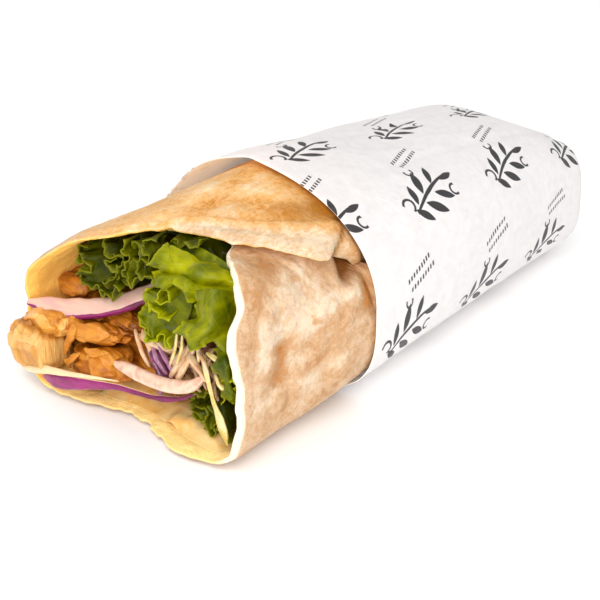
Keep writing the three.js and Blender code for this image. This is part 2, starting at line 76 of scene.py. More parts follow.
# ------------------------------------------------------------------ small mathematics
def mix(low: float | Array, high: float | Array, share: float | Array) -> float | Array:
    """Returns the value a share of the way from low to high."""
    return low + (high - low) * share


def ramp(value: float | Array, start: float, end: float) -> Array:
    """Returns a smooth step from 0 at start to 1 at end."""
    share = np.clip((np.asarray(value, float) - start) / (end - start), 0, 1)
    return share * share * (3 - 2 * share)


def bell(value: float | Array, middle: float | Array, width: float) -> Array:
    """Returns a smooth hump that is 1 at its middle."""
    return np.exp(-(((value - middle) / width) ** 2))


def wave(x: Array, y: Array, z: Array, size: float, seed: float = 0.0) -> Array:
    """Returns a soft relief from -1 to 1, made of three crossing waves."""
    return (
        np.sin((x * 1.31 + y * 0.52) / size + seed)
        + np.sin((y * 1.17 - z * 0.71) / size + 2.1 * seed + 1)
        + np.sin((z * 1.43 + x * 0.37) / size + 3.7 * seed + 2)
    ) / 3


def noise(x: Array, y: Array, z: Array, seed: float = 0.0) -> Array:
    """Returns smooth value noise from -1 to 1 with features about 1 unit wide."""
    shifts = (seed, 1.7 * seed, 2.3 * seed)
    axes = [np.asarray(c, float) + shift for c, shift in zip((x, y, z), shifts)]
    cells = [np.floor(c) for c in axes]
    parts = [c - cell for c, cell in zip(axes, cells)]
    parts = [p * p * (3 - 2 * p) for p in parts]

    def corner(i: int, j: int, k: int) -> Array:
        """Returns the random value at a corner of the cell."""
        turn = (cells[0] + i) * 127.1 + (cells[1] + j) * 311.7 + (cells[2] + k) * 74.7
        return np.modf(np.abs(np.sin(turn) * 43758.5453))[0]

    def edge(j: int, k: int) -> Array:
        """Returns the value between two corners along the first axis."""
        return mix(corner(0, j, k), corner(1, j, k), parts[0])

    low, high = (mix(edge(0, k), edge(1, k), parts[1]) for k in (0, 1))
    return 2 * mix(low, high, parts[2]) - 1


def wander(at: Array, seed: float) -> Array:
    """Returns smooth noise from -1 to 1 along a line, with features about 1 unit long."""
    return noise(at, at * 0, at * 0, seed)


def along(knots: Sequence[tuple[float, float]], at: float | Array) -> Array:
    """Returns a smooth curve through knots, at the places asked for.

    Args:
        knots: places and values, with rising places.
        at: where the curve is wanted; beyond the knots it keeps their end values.

    Returns:
        The curve's values, with the slopes of a Catmull-Rom spline.
    """
    places, values = np.array(knots, float).T
    at = np.clip(np.asarray(at, float), places[0], places[-1])
    last = len(places) - 1
    before = np.maximum(np.arange(last + 1) - 1, 0)
    after = np.minimum(np.arange(last + 1) + 1, last)
    slopes = (values[after] - values[before]) / (places[after] - places[before])
    i = np.clip(np.searchsorted(places, at, side="right") - 1, 0, last - 1)
    span = places[i + 1] - places[i]
    t = (at - places[i]) / span
    return (
        (2 * t**3 - 3 * t**2 + 1) * values[i]
        + (t**3 - 2 * t**2 + t) * span * slopes[i]
        + (-2 * t**3 + 3 * t**2) * values[i + 1]
        + (t**3 - t**2) * span * slopes[i + 1]
    )


def spline(points: Array, share: Array) -> Array:
    """Returns a smooth curve through points, at shares of the way along it.

    Args:
        points: the points, along the first axis.
        share: where the curve is wanted, from 0 to 1.

    Returns:
        The curve's points, along the first axis.
    """
    points = np.asarray(points, float)
    count = len(points)
    padded = np.concatenate([[2 * points[0] - points[1]], points, [2 * points[-1] - points[-2]]])
    at = np.clip(share, 0, 1) * (count - 1)
    i = np.minimum(at.astype(int), count - 2)
    t = (at - i).reshape((-1,) + (1,) * (points.ndim - 1))
    a, b, c, d = (padded[i + k] for k in range(4))
    return b + 0.5 * t * (c - a + t * (2 * a - 5 * b + 4 * c - d + t * (3 * (b - c) + d - a)))


def unit(vectors: Array) -> Array:
    """Returns the vectors with length 1."""
    return vectors / np.maximum(np.linalg.norm(vectors, axis=-1, keepdims=True), 1e-9)


# ------------------------------------------------------------------ the roll's surface
@dataclass(frozen=True)
class RollShape:
    """The outside of the roll at stations along it.

    Each station has its place, half its width, its height, how far its middle is moved
    sideways, and how square each quarter of its section is: near side below, far side
    below, far side above, near side above.
    """

    stations: tuple[tuple[float, ...], ...] = (
        (-3, 42.4, 55.2, -2, 6.5, 3.6, 1.62, 3.2),
        (20, 40.8, 57.8, -2.2, 5.4, 3, 1.42, 3.5),
        (48, 43, 61.8, -3.2, 3.3, 2.8, 1.24, 2.1),
        (100, 40, 57, -3.5, 2.5, 2.8, 2, 2.5),
        (148, 34.8, 52, -2.6, 2.5, 3.2, 2.4, 2.7),
        (172, 32.3, 42, -1.2, 2.6, 4.2, 5, 4),
    )
    sink: float = 1.5  # how much of the round section is pressed flat on the table
    length: float = 172.0

    def size(self, column: int, x: float | Array) -> Array:
        """Returns one of the stations' sizes at places along the roll."""
        return along([(s[0], s[column]) for s in self.stations], x)

    def outline(self, angle: Array, x: Array) -> tuple[Array, Array]:
        """Returns y and z of the section's outline before it is pressed flat.

        Args:
            angle: degrees round the roll: 0 near side, 90 below, 180 far side, 270 top.
            x: the place along the roll.
        """
        c, s = np.cos(np.radians(angle)), np.sin(np.radians(angle))
        half, high = self.size(1, x), (self.size(2, x) + self.sink) / 2
        powers = [self.size(4 + k, x) for k in range(4)]
        power = np.where(
            s < 0, np.where(c < 0, powers[2], powers[3]), np.where(c < 0, powers[1], powers[0])
        )
        reach = (np.abs(c / half) ** power + np.abs(s / high) ** power) ** (-1 / power)
        return self.size(3, x) - reach * c, high - self.sink - reach * s

    def skin(self, angle: Array, x: Array, depth: Array, floor: Array | None = None) -> Array:
        """Returns points that lie a depth inside the roll's outside.

        Args:
            angle: degrees round the roll.
            x: the place along the roll.
            depth: how far inside, in mm.
            floor: the lowest that a point may be; the depth itself where it isn't given.

        Returns:
            Points with their x, y and z along the last axis.
        """
        angle, x, depth = np.broadcast_arrays(*(np.asarray(v, float) for v in (angle, x, depth)))
        floor = depth if floor is None else floor
        y, z = self.outline(angle, x)
        y0, z0 = self.outline(angle - 1.5, x)
        y1, z1 = self.outline(angle + 1.5, x)
        length = np.hypot(y1 - y0, z1 - z0)
        lifted = np.maximum(floor, z + depth * (y1 - y0) / length)
        return np.stack([x, y - depth * (z1 - z0) / length, lifted], -1)


ROLL = RollShape()

# How far back the bread's front edge is at an angle round the roll.
LIP = (
    (-70, 24), (-60, 20.3), (-52.5, 16.2), (-47.5, 14.3), (-43.5, 12.4), (-39.5, 10.4),
    (-35.5, 8.5), (-28.5, 6), (-25, 5), (-22.5, 3.4), (-19.5, 1), (-16, -0.2), (-10, -1),
    (-5.5, -0.5), (-1, 1), (4, 2), (15, 2), (20, 1), (25, 0), (33, 0.6), (38, -0.6),
    (42, -1.8), (50, -2.5), (57, -2.3), (63, -1.2), (71, 0), (79, 1.7), (90, 2.3), (98, 2),
    (105, 0.3), (113, -0.9), (124, -2.4), (134, -4.2), (146, -4.8), (158, -3), (172, -0.4),
    (190, -1.4), (220, -0.2), (245, 0.4), (262, 2.2), (276, 7.7), (293, 13), (310, 17),
)  # fmt: skip


# ------------------------------------------------------------------ workshop
def roll_to_world(points: Array) -> Array:
    """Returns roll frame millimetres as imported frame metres."""
    return (np.asarray(points, float) + np.array(ROLL_ORIGIN)) * MM


def take(piece: bpy.types.Object) -> bpy.types.Object:
    """Selects one piece alone and makes it the active one."""
    bpy.ops.object.select_all(action="DESELECT")
    piece.select_set(True)
    bpy.context.view_layer.objects.active = piece
    return piece


def coordinates(piece: bpy.types.Object) -> Array:
    """Returns a mesh's vertices as an array."""
    flat = np.empty(len(piece.data.vertices) * 3)
    piece.data.vertices.foreach_get("co", flat)
    return flat.reshape(-1, 3)


def shape(piece: bpy.types.Object, points: Array) -> None:
    """Moves a mesh's vertices to points of the roll frame in mm."""
    piece.data.vertices.foreach_set("co", roll_to_world(points).ravel())
    piece.data.update()


def mark(piece: bpy.types.Object, **marks: Array) -> None:
    """Writes named numbers for each vertex, which a finish reads."""
    layers = piece.data.attributes
    for name, values in marks.items():
        layer = layers.get(name) or layers.new(name, "FLOAT", "POINT")
        layer.data.foreach_set("value", np.asarray(values, np.float32).ravel())


def read_mark(piece: bpy.types.Object, name: str) -> Array:
    """Returns a named number of each vertex."""
    values = np.empty(len(piece.data.vertices), np.float32)
    piece.data.attributes[name].data.foreach_get("value", values)
    return values


def new_grid(name: str, columns: int, rows: int) -> tuple[bpy.types.Object, Array, Array]:
    """Adds a flat grid to be shaped.

    Returns:
        The piece, and for each vertex its share across the columns and along the rows.
    """
    bpy.ops.object.select_all(action="DESELECT")
    bpy.ops.mesh.primitive_grid_add(x_subdivisions=columns, y_subdivisions=rows, size=1)
    piece = bpy.context.active_object
    piece.name = piece.data.name = name
    flat = coordinates(piece)
    across = np.rint((flat[:, 0] + 0.5) * columns) / columns
    lengthwise = np.rint((flat[:, 1] + 0.5) * rows) / rows
    return piece, across, lengthwise


def new_ball(name: str, detail: int) -> tuple[bpy.types.Object, Array]:
    """Adds a ball of triangles to be shaped, and returns it with its directions."""
    bpy.ops.object.select_all(action="DESELECT")
    bpy.ops.mesh.primitive_ico_sphere_add(subdivisions=detail, radius=1)
    piece = bpy.context.active_object
    piece.name = piece.data.name = name
    return piece, unit(coordinates(piece))


def set_uv(piece: bpy.types.Object, across: Array, lengthwise: Array) -> None:
    """Lays a piece's UV map out by two numbers per vertex."""
    layer = piece.data.uv_layers[0]
    corners = np.empty(len(piece.data.loops), np.int32)
    piece.data.loops.foreach_get("vertex_index", corners)
    layer.data.foreach_set("uv", np.stack([across, lengthwise], -1)[corners].ravel())


def mend(piece: bpy.types.Object, merge: float = 0.0, turn: bool = True) -> None:
    """Merges a piece's doubled vertices, within metres, and turns its faces one way."""
    take(piece)
    bpy.ops.object.mode_set(mode="EDIT")
    bpy.ops.mesh.select_all(action="SELECT")
    if merge:
        bpy.ops.mesh.remove_doubles(threshold=merge)
    if turn:
        bpy.ops.mesh.normals_make_consistent(inside=False)
    bpy.ops.object.mode_set(mode="OBJECT")


def modify(piece: bpy.types.Object, kind: str, **settings: object) -> None:
    """Adds a modifier with its settings and applies it."""
    take(piece)
    modifier = piece.modifiers.new(kind.title(), kind)
    for key, value in settings.items():
        setattr(modifier, key, value)
    bpy.ops.object.modifier_apply(modifier=modifier.name)


def relief(piece: bpy.types.Object, size: float, height: float, kind: str = "CLOUDS") -> None:
    """Gives a piece a fine relief with features of a size, both in mm."""
    texture = bpy.data.textures.new(f"{piece.name}_{size}", kind)
    texture.noise_scale = size * MM
    if kind == "CLOUDS":
        texture.noise_depth = 2
    modify(
        piece, "DISPLACE", texture=texture, texture_coords="LOCAL", strength=2 * height * MM,
        mid_level=0.5,
    )  # fmt: skip
    bpy.data.textures.remove(texture)


def thicken(piece: bpy.types.Object, wall: float, offset: float = 0.0, group: str = "") -> None:
    """Gives a sheet its thickness in mm, less where its vertex group is weaker."""
    modify(
        piece, "SOLIDIFY", thickness=wall * MM, offset=offset, use_even_offset=False,
        vertex_group=group, thickness_vertex_group=0.0,
    )  # fmt: skip


def weigh(piece: bpy.types.Object, name: str, weights: Array) -> None:
    """Writes a vertex group in a hundred steps."""
    group = piece.vertex_groups.new(name=name)
    steps = np.rint(np.clip(weights, 0, 1) * 100).astype(int)
    for step in np.unique(steps):
        group.add(np.nonzero(steps == step)[0].tolist(), float(step) / 100, "REPLACE")


def join(name: str, pieces: Sequence[bpy.types.Object]) -> bpy.types.Object:
    """Joins pieces into the first one and names the result."""
    take(pieces[0])
    for piece in pieces:
        piece.select_set(True)
    if len(pieces) > 1:
        bpy.ops.object.join()
    whole = bpy.context.active_object
    whole.name = whole.data.name = name
    return whole


def hand_over(
    piece: bpy.types.Object, finish: bpy.types.Material, slot: str, *nodes: str
) -> bpy.types.Object:
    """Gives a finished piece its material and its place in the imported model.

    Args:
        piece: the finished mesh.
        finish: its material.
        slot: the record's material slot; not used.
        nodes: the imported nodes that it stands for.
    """
    take(piece)
    bpy.ops.object.shade_smooth()
    piece.data.materials.clear()
    piece.data.materials.append(finish)
    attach(piece, BODY)
    if nodes:
        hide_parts(*nodes)
    LOG.info("%s: %d faces", piece.name, len(piece.data.polygons))
    return piece


# ------------------------------------------------------------------ shader expressions
class Value:
    """A number of the shader, with Python's operators as Math nodes."""

    def __init__(self, recipe: "Recipe", socket: bpy.types.NodeSocket) -> None:
        """Keeps the recipe that holds the socket, and the socket."""
        self.recipe = recipe
        self.socket = socket

    def math(self, operation: str, *others: "Value | float", clamped: bool = False) -> "Value":
        """Returns the result of one Math node on this value and others."""
        return self.recipe.node(
            "ShaderNodeMath",
            {"operation": operation, "use_clamp": clamped},
            dict(enumerate((self, *others))),
        )

    def __add__(self, other: "Value | float") -> "Value":
        """Returns the sum."""
        return self.math("ADD", other)

    def __mul__(self, other: "Value | float") -> "Value":
        """Returns the product."""
        return self.math("MULTIPLY", other)

    def __sub__(self, other: "Value | float") -> "Value":
        """Returns the difference."""
        return self.math("SUBTRACT", other)

    def __rsub__(self, other: float) -> "Value":
        """Returns a number less this value."""
        return self.recipe.node(
            "ShaderNodeMath", {"operation": "SUBTRACT"}, {0: other, 1: self}
        )

    def __pow__(self, other: "Value | float") -> "Value":
        """Returns the power."""
        return self.math("POWER", other)

    __radd__ = __add__
    __rmul__ = __mul__

    def least(self, other: "Value | float") -> "Value":
        """Returns the smaller of two values."""
        return self.math("MINIMUM", other)

    def most(self, other: "Value | float") -> "Value":
        """Returns the larger of two values."""
        return self.math("MAXIMUM", other)

    def size(self) -> "Value":
        """Returns the value without its sign."""
        return self.math("ABSOLUTE")

    def step(self, start: float, end: float) -> "Value":
        """Returns a smooth step from 0 at start to 1 at end, which may be the lower."""
        low, high, out = (start, end, (0.0, 1.0)) if start < end else (end, start, (1.0, 0.0))
        return self.recipe.node(
            "ShaderNodeMapRange",
            {"interpolation_type": "SMOOTHSTEP"},
            {"Value": self, "From Min": low, "From Max": high, "To Min": out[0], "To Max": out[1]},
        )


class Recipe:
    """The nodes of one material round a Principled shader."""

    def __init__(self, name: str, **constants: object) -> None:
        """Makes the material and sets the shader's constant sockets.

        Args:
            name: the material's name.
            constants: socket names, with _ for spaces, and their values.
        """
        self.material = bpy.data.materials.new(name)
        self.material.use_nodes = True
        self.tree = self.material.node_tree
        self.shader = next(n for n in self.tree.nodes if n.type == "BSDF_PRINCIPLED")
        for key, value in constants.items():
            socket = key.replace("_", " ").title().replace("Ior", "IOR")
            self.shader.inputs[socket].default_value = value
        place = self.tree.nodes.new("ShaderNodeTexCoord")
        self.place = Value(self, place.outputs["Object"])
        self.uv = Value(self, place.outputs["UV"])

    def node(
        self,
        kind: str,
        settings: dict[str, object] | None = None,
        inputs: dict[str | int, object] | None = None,
        output: str | int = 0,
    ) -> Value:
        """Adds a node.

        Args:
            kind: the node's type.
            settings: its own settings, which are set first.
            inputs: values or links of its sockets, by name or number.
            output: which of its outputs is returned.
        """
        node = self.tree.nodes.new(kind)
        for key, value in (settings or {}).items():
            setattr(node, key, value)
        for key, value in (inputs or {}).items():
            if isinstance(value, Value):
                self.tree.links.new(value.socket, node.inputs[key])
            else:
                node.inputs[key].default_value = value
        return Value(self, node.outputs[output])

    def mark(self, name: str) -> Value:
        """Returns a named number that the piece's vertices carry."""
        return self.node("ShaderNodeAttribute", {"attribute_name": name}, output="Fac")

    def unrolled(self) -> tuple[Value, Value]:
        """Returns the UV map's two numbers in mm, which it holds as tenths of a metre."""
        both = self.node("ShaderNodeSeparateXYZ", {}, {0: self.uv}).socket.node.outputs
        return Value(self, both[0]) * 100.0, Value(self, both[1]) * 100.0

    def scaled(self, stretch: Point) -> Value:
        """Returns the place on the piece in mm, divided along each axis."""
        factors = tuple(1 / (MM * s) for s in stretch)
        return self.node(
            "ShaderNodeVectorMath", {"operation": "MULTIPLY"}, {0: self.place, 1: factors}
        )

    def cloud(
        self, size: float | Point, detail: float = 3.0, warp: float = 0.0, rough: float = 0.55
    ) -> Value:
        """Returns cloudy noise about 0.5 with features of a size in mm."""
        stretch = size if isinstance(size, tuple) else (size, size, size)
        return self.node(
            "ShaderNodeTexNoise",
            {"noise_dimensions": "3D"},
            {"Vector": self.scaled(stretch), "Scale": 1.0, "Detail": detail,
             "Roughness": rough, "Distortion": warp},
            "Fac",
        )  # fmt: skip

    def cells(self, size: float, feature: str = "F1", smooth: float = 0.6) -> Value:
        """Returns the distance to cell middles, with cells of a size in mm."""
        return self.node(
            "ShaderNodeTexVoronoi",
            {"feature": feature},
            {"Vector": self.scaled((size, size, size)), "Scale": 1.0,
             **({"Smoothness": smooth} if feature == "SMOOTH_F1" else {})},
            "Distance",
        )  # fmt: skip

    def blend(self, share: Value | float, low: Value | Colour, high: Value | Colour) -> Value:
        """Returns a colour a share of the way from low to high."""
        low, high = ((*c, 1.0) if isinstance(c, tuple) else c for c in (low, high))
        return self.node(
            "ShaderNodeMix",
            {"data_type": "RGBA", "clamp_factor": True},
            {0: share, 6: low, 7: high},
            2,
        )

    def scale(self, share: Value, *stops: tuple[float, Colour]) -> Value:
        """Returns a colour from a row of stops."""
        node = self.tree.nodes.new("ShaderNodeValToRGB")
        elements = node.color_ramp.elements
        while len(elements) < len(stops):
            elements.new(0.5)
        for element, (place, colour) in zip(elements, stops):
            element.position = place
            element.color = (*colour, 1.0)
        self.tree.links.new(share.socket, node.inputs[0])
        return Value(self, node.outputs[0])

    def finish(
        self, colour: Value, rough: Value | None = None, *bumps: tuple[Value, float]
    ) -> bpy.types.Material:
        """Connects the colour, roughness and relief, and returns the material.

        Args:
            colour: the base colour.
            rough: the roughness, where it varies.
            bumps: heights from 0 to 1 and how high 1 is, in mm.
        """
        self.tree.links.new(colour.socket, self.shader.inputs["Base Color"])
        if rough:
            self.tree.links.new(rough.socket, self.shader.inputs["Roughness"])
        normal: dict[str, Value] = {}
        for height, tall in bumps:
            inputs = {"Strength": 1.0, "Distance": tall * MM, "Height": height, **normal}
            normal = {"Normal": self.node("ShaderNodeBump", {}, inputs)}
        if normal:
            self.tree.links.new(normal["Normal"].socket, self.shader.inputs["Normal"])
        return self.material


# ------------------------------------------------------------------ finishes
@dataclass(frozen=True)
class BreadFinish:
    """Flatbread baked on a hot plate: floury cream, tan, toasted brown and dark spots."""

    flour: Colour = (0.72, 0.57, 0.41)
    cream: Colour = (0.63, 0.44, 0.28)
    tan: Colour = (0.56, 0.34, 0.18)
    mauve: Colour = (0.47, 0.25, 0.11)
    brown: Colour = (0.5, 0.2, 0.045)
    butter: Colour = (0.84, 0.66, 0.42)
    honey: Colour = (0.78, 0.5, 0.24)
    toasted: Colour = (0.76, 0.42, 0.15)
    baked: Colour = (0.62, 0.27, 0.05)
    scorched: Colour = (0.36, 0.13, 0.012)
    crumb: Colour = (0.95, 0.82, 0.63)
    sauced: Colour = (1.0, 0.57, 0.12)
    moist: Colour = (1.0, 0.68, 0.27)
    # painted shade: the dark brown laid in the pocket beside the flap's torn end, on that end and
    # under the lump
    shade: Colour = (0.17, 0.05, 0.002)
    # olive brown: partly toast, partly painted shade along the paper's edge
    browned_and_shaded: Colour = (0.38, 0.14, 0.008)

    def material(self) -> bpy.types.Material:
        """Returns the bread's material. It reads how toasted and torn a place is, and how much
        painted shade it carries.
        """
        r = Recipe("bread", roughness=0.62, specular_IOR_level=0.3, subsurface_weight=0.25,
                   subsurface_scale=0.0025, subsurface_radius=(1.0, 0.45, 0.15))  # fmt: skip
        wide = r.cloud(8.5, 4, 1.2) - 0.5
        mottle = r.cloud(3.0, 5, 1.4, 0.66) - 0.5
        grain = r.cloud(0.7, 3, 0.0, 0.6) - 0.5
        streaks = r.cloud((9.0, 0.9, 0.9), 4, 0.3, 0.6) - 0.5
        domes = 1 - r.cells(2.2, "SMOOTH_F1") * 1.5
        crisp = (mottle * 1.1 + wide * 0.6).step(-0.08, 0.1) - 0.5
        baked_in, streaky = r.mark("toast"), r.mark("streak")
        toast = baked_in + wide * 0.46 + mottle * 0.5 + grain * 0.24 + crisp * 0.1
        toast = toast - (domes - 0.45) * (baked_in.step(0.4, 0.2) * 0.16 + 0.03)
        toast = toast + streaks * streaky * 0.9
        near = r.scale(
            toast, (0.0, self.flour), (0.24, self.cream), (0.44, self.tan), (0.66, self.mauve),
            (0.88, self.brown), (1.0, self.scorched),
        )  # fmt: skip
        flap = r.scale(
            toast, (0.12, self.butter), (0.38, self.honey), (0.58, self.toasted),
            (0.82, self.baked), (1.0, self.scorched),
        )  # fmt: skip
        baked = r.blend(r.mark("warm"), near, flap)
        specks = r.cloud(1.2, 2, 0.0, 0.7).step(0.63, 0.7) * baked_in.step(0.1, 0.4)
        baked = r.blend(specks * 0.45, baked, self.brown)
        # olive brown: partly toast, partly painted shade along the paper's edge
        baked = r.blend(r.mark("browned_and_shaded") * (mottle * 0.5 + 0.9), baked, self.browned_and_shaded)
        stain = (r.mark("stain") + wide * 0.9 + mottle * 0.5).step(0.1, 0.9)
        baked = r.blend(r.mark("inside"), baked, r.blend(stain, self.moist, self.sauced))
        torn = (r.mark("torn") + mottle * 0.7 + grain * 0.35).step(0.3, 0.7)
        baked = r.blend(torn * 0.9, baked, self.crumb)
        # painted shade by the mark deep: the pocket beside the flap's torn end, that end and the
        # place under the lump
        baked = r.blend(r.mark("deep") * 0.97, baked, self.shade)
        rough = 0.56 + grain * 0.3 + mottle * 0.2
        relief_of = ((r.cloud(2.4, 4), 0.4), (domes, 0.13), (r.cloud(0.55, 2), 0.12))
        return r.finish(baked, rough, *relief_of, (streaks * streaky, 0.5))


@dataclass(frozen=True)
class SauceFinish:
    """Thin glossy sauce, cream to orange where it is thick."""

    pale: Colour = (0.88, 0.6, 0.25)
    deep: Colour = (0.84, 0.46, 0.12)

    def material(self) -> bpy.types.Material:
        """Returns the sauce's material."""
        r = Recipe("sauce", roughness=0.16, coat_weight=0.8, coat_roughness=0.05,
                   subsurface_weight=0.15, subsurface_scale=0.002)  # fmt: skip
        share = r.cloud(7, 3, 1.0).step(0.4, 0.66)
        colour = r.blend(share, self.pale, self.deep)
        colour = r.blend(r.cloud(1.0, 2).step(0.68, 0.74) * 0.4, colour, (0.45, 0.16, 0.03))
        return r.finish(colour, None, (r.cloud(5.5, 1, 0.4), 0.5), (r.cloud(1.8, 1), 0.04))


@dataclass(frozen=True)
class ChickenFinish:
    """Moist cooked chicken: pale torn flesh with golden and brown places, and painted shade in its
    recesses.
    """

    name: str
    pale: Colour = (0.62, 0.25, 0.032)
    golden: Colour = (0.46, 0.14, 0.007)
    # brown: seared meat and specks, and the painted shade in recesses, between chunks and
    # underneath
    brown: Colour = (0.2, 0.05, 0.001)
    toast: float = 0.0
    fibre: Point = (1.2, 9.0, 1.2)

    def material(self) -> bpy.types.Material:
        """Returns the chicken's material. It reads how much painted shade, and darker or lighter
        tint, a place carries.
        """
        r = Recipe(self.name, roughness=0.42, specular_IOR_level=0.25, coat_weight=0.08,
                   coat_roughness=0.2, subsurface_weight=0.2, subsurface_scale=0.002,
                   subsurface_radius=(1.0, 0.4, 0.12))  # fmt: skip
        fibres = r.cloud(self.fibre, 3, 0.6, 0.6)
        fine = r.cloud(tuple(f * 0.4 for f in self.fibre), 2, 0.3)
        patch = r.cloud(5.0, 3, 0.8)
        share = patch * 0.8 + (fibres - 0.5) * 0.4 + (fine - 0.5) * 0.2 + (0.05 + self.toast)
        # painted shade: darker in the relief's low places, between chunks and on their undersides
        share = share + r.mark("painted_shade_and_tint") * 0.85
        colour = r.scale(share, (0.25, self.pale), (0.52, self.golden), (0.9, self.brown))
        specks = r.cloud(0.9, 2, 0.0, 0.7).step(0.69, 0.76)
        colour = r.blend(specks * 0.5, colour, self.brown)
        rough = 0.32 + (fine - 0.5) * 0.5 + (patch - 0.5) * 0.3
        return r.finish(colour, rough, (fibres, 0.4), (fine, 0.2), (r.cloud(0.5, 2), 0.07))


@dataclass(frozen=True)
class LeafFinish:
    """A lettuce leaf: yellow-green where bright, painted shade in its folds, pale veins, partly
    painted light on its edges.
    """

    name: str
    bright: Colour = (0.34, 0.335, 0.001)
    middle: Colour = (0.15, 0.165, 0.0)
    dark: Colour = (0.035, 0.055, 0.0)
    vein: Colour = (0.42, 0.42, 0.04)
    # edge: partly the leaf's paler edge, partly painted light where thin edges catch the light
    edge: Colour = (0.36, 0.36, 0.001)
    gloss: float = 0.14

    def material(self) -> bpy.types.Material:
        """Returns the leaf's material. It reads how near the edge and a vein a place is."""
        r = Recipe(self.name, roughness=0.34, specular_IOR_level=self.gloss,
                   subsurface_weight=0.15, subsurface_scale=0.001,
                   subsurface_radius=(0.9, 1.0, 0.05))  # fmt: skip
        patch = r.cloud(8, 3, 0.8)
        fine = r.cloud(1.8, 3, 0.4)
        # each leaf's own lighter or darker value, with painted light on ruffle crests and painted
        # shade in troughs and on shaded leaves
        share = patch + (fine - 0.5) * 0.2 + r.mark("tone_and_painted_shading") * 0.6
        colour = r.scale(share, (0.2, self.dark), (0.46, self.middle), (0.74, self.bright))
        colour = r.blend(r.mark("vein") * 0.35, colour, self.vein)
        # lighter free edges: partly the leaf's paler edge, partly painted light where thin edges
        # catch the light
        colour = r.blend(r.mark("rim") * 0.75, colour, self.edge)
        rough = 0.34 + (fine - 0.5) * 0.3
        return r.finish(colour, rough, (r.cells(2.2, "SMOOTH_F1"), 0.22), (r.cloud(0.9, 2), 0.06))


@dataclass(frozen=True)
class OnionFinish:
    """A slice of red onion: pinkish white flesh with fine lines, purple skin."""

    name: str
    flesh: Colour = (0.7, 0.45, 0.35)
    blush: Colour = (0.62, 0.3, 0.34)
    skin: Colour = (0.31, 0.012, 0.15)
    deep: Colour = (0.12, 0.004, 0.045)

    def material(self) -> bpy.types.Material:
        """Returns the onion's material. It reads where its skin is."""
        r = Recipe(self.name, roughness=0.26, coat_weight=0.25, coat_roughness=0.12,
                   subsurface_weight=0.2, subsurface_scale=0.002)  # fmt: skip
        lines = r.cloud((9.0, 9.0, 1.1), 3, 0.2)
        flesh = r.blend(lines.step(0.42, 0.7) * 0.5, self.flesh, self.blush)
        darker = lines.step(0.35, 0.7) * 0.6 + r.mark("t").step(0.3, 0.75) * 0.6
        skin = r.blend(darker, self.skin, self.deep)
        share = (r.mark("skin") + (r.cloud(1.6, 2) - 0.5) * 0.35).step(0.35, 0.62)
        return r.finish(r.blend(share, flesh, skin), None, (lines, 0.08), (r.cloud(0.6, 2), 0.03))


@dataclass(frozen=True)
class CabbageFinish:
    """A shred of cabbage with dressing on it, pale or purple."""

    name: str
    pale: Colour = (0.8, 0.55, 0.33)
    tint: Colour = (0.64, 0.34, 0.17)

    def material(self) -> bpy.types.Material:
        """Returns the shred's material."""
        r = Recipe(self.name, roughness=0.24, coat_weight=0.5, coat_roughness=0.1,
                   subsurface_weight=0.25, subsurface_scale=0.002)  # fmt: skip
        lines = (r.mark("round") * (math.pi / 30) + r.cloud(4.0, 2) * 4.0).math("SINE") * 0.5 + 0.5
        share = (r.cloud(4.0, 3, 0.8) + (lines - 0.5) * 0.08).step(0.36, 0.72)
        colour = r.blend(share, self.pale, self.tint)
        return r.finish(colour, None, (lines, 0.02), (r.cloud(2.2, 2), 0.08))


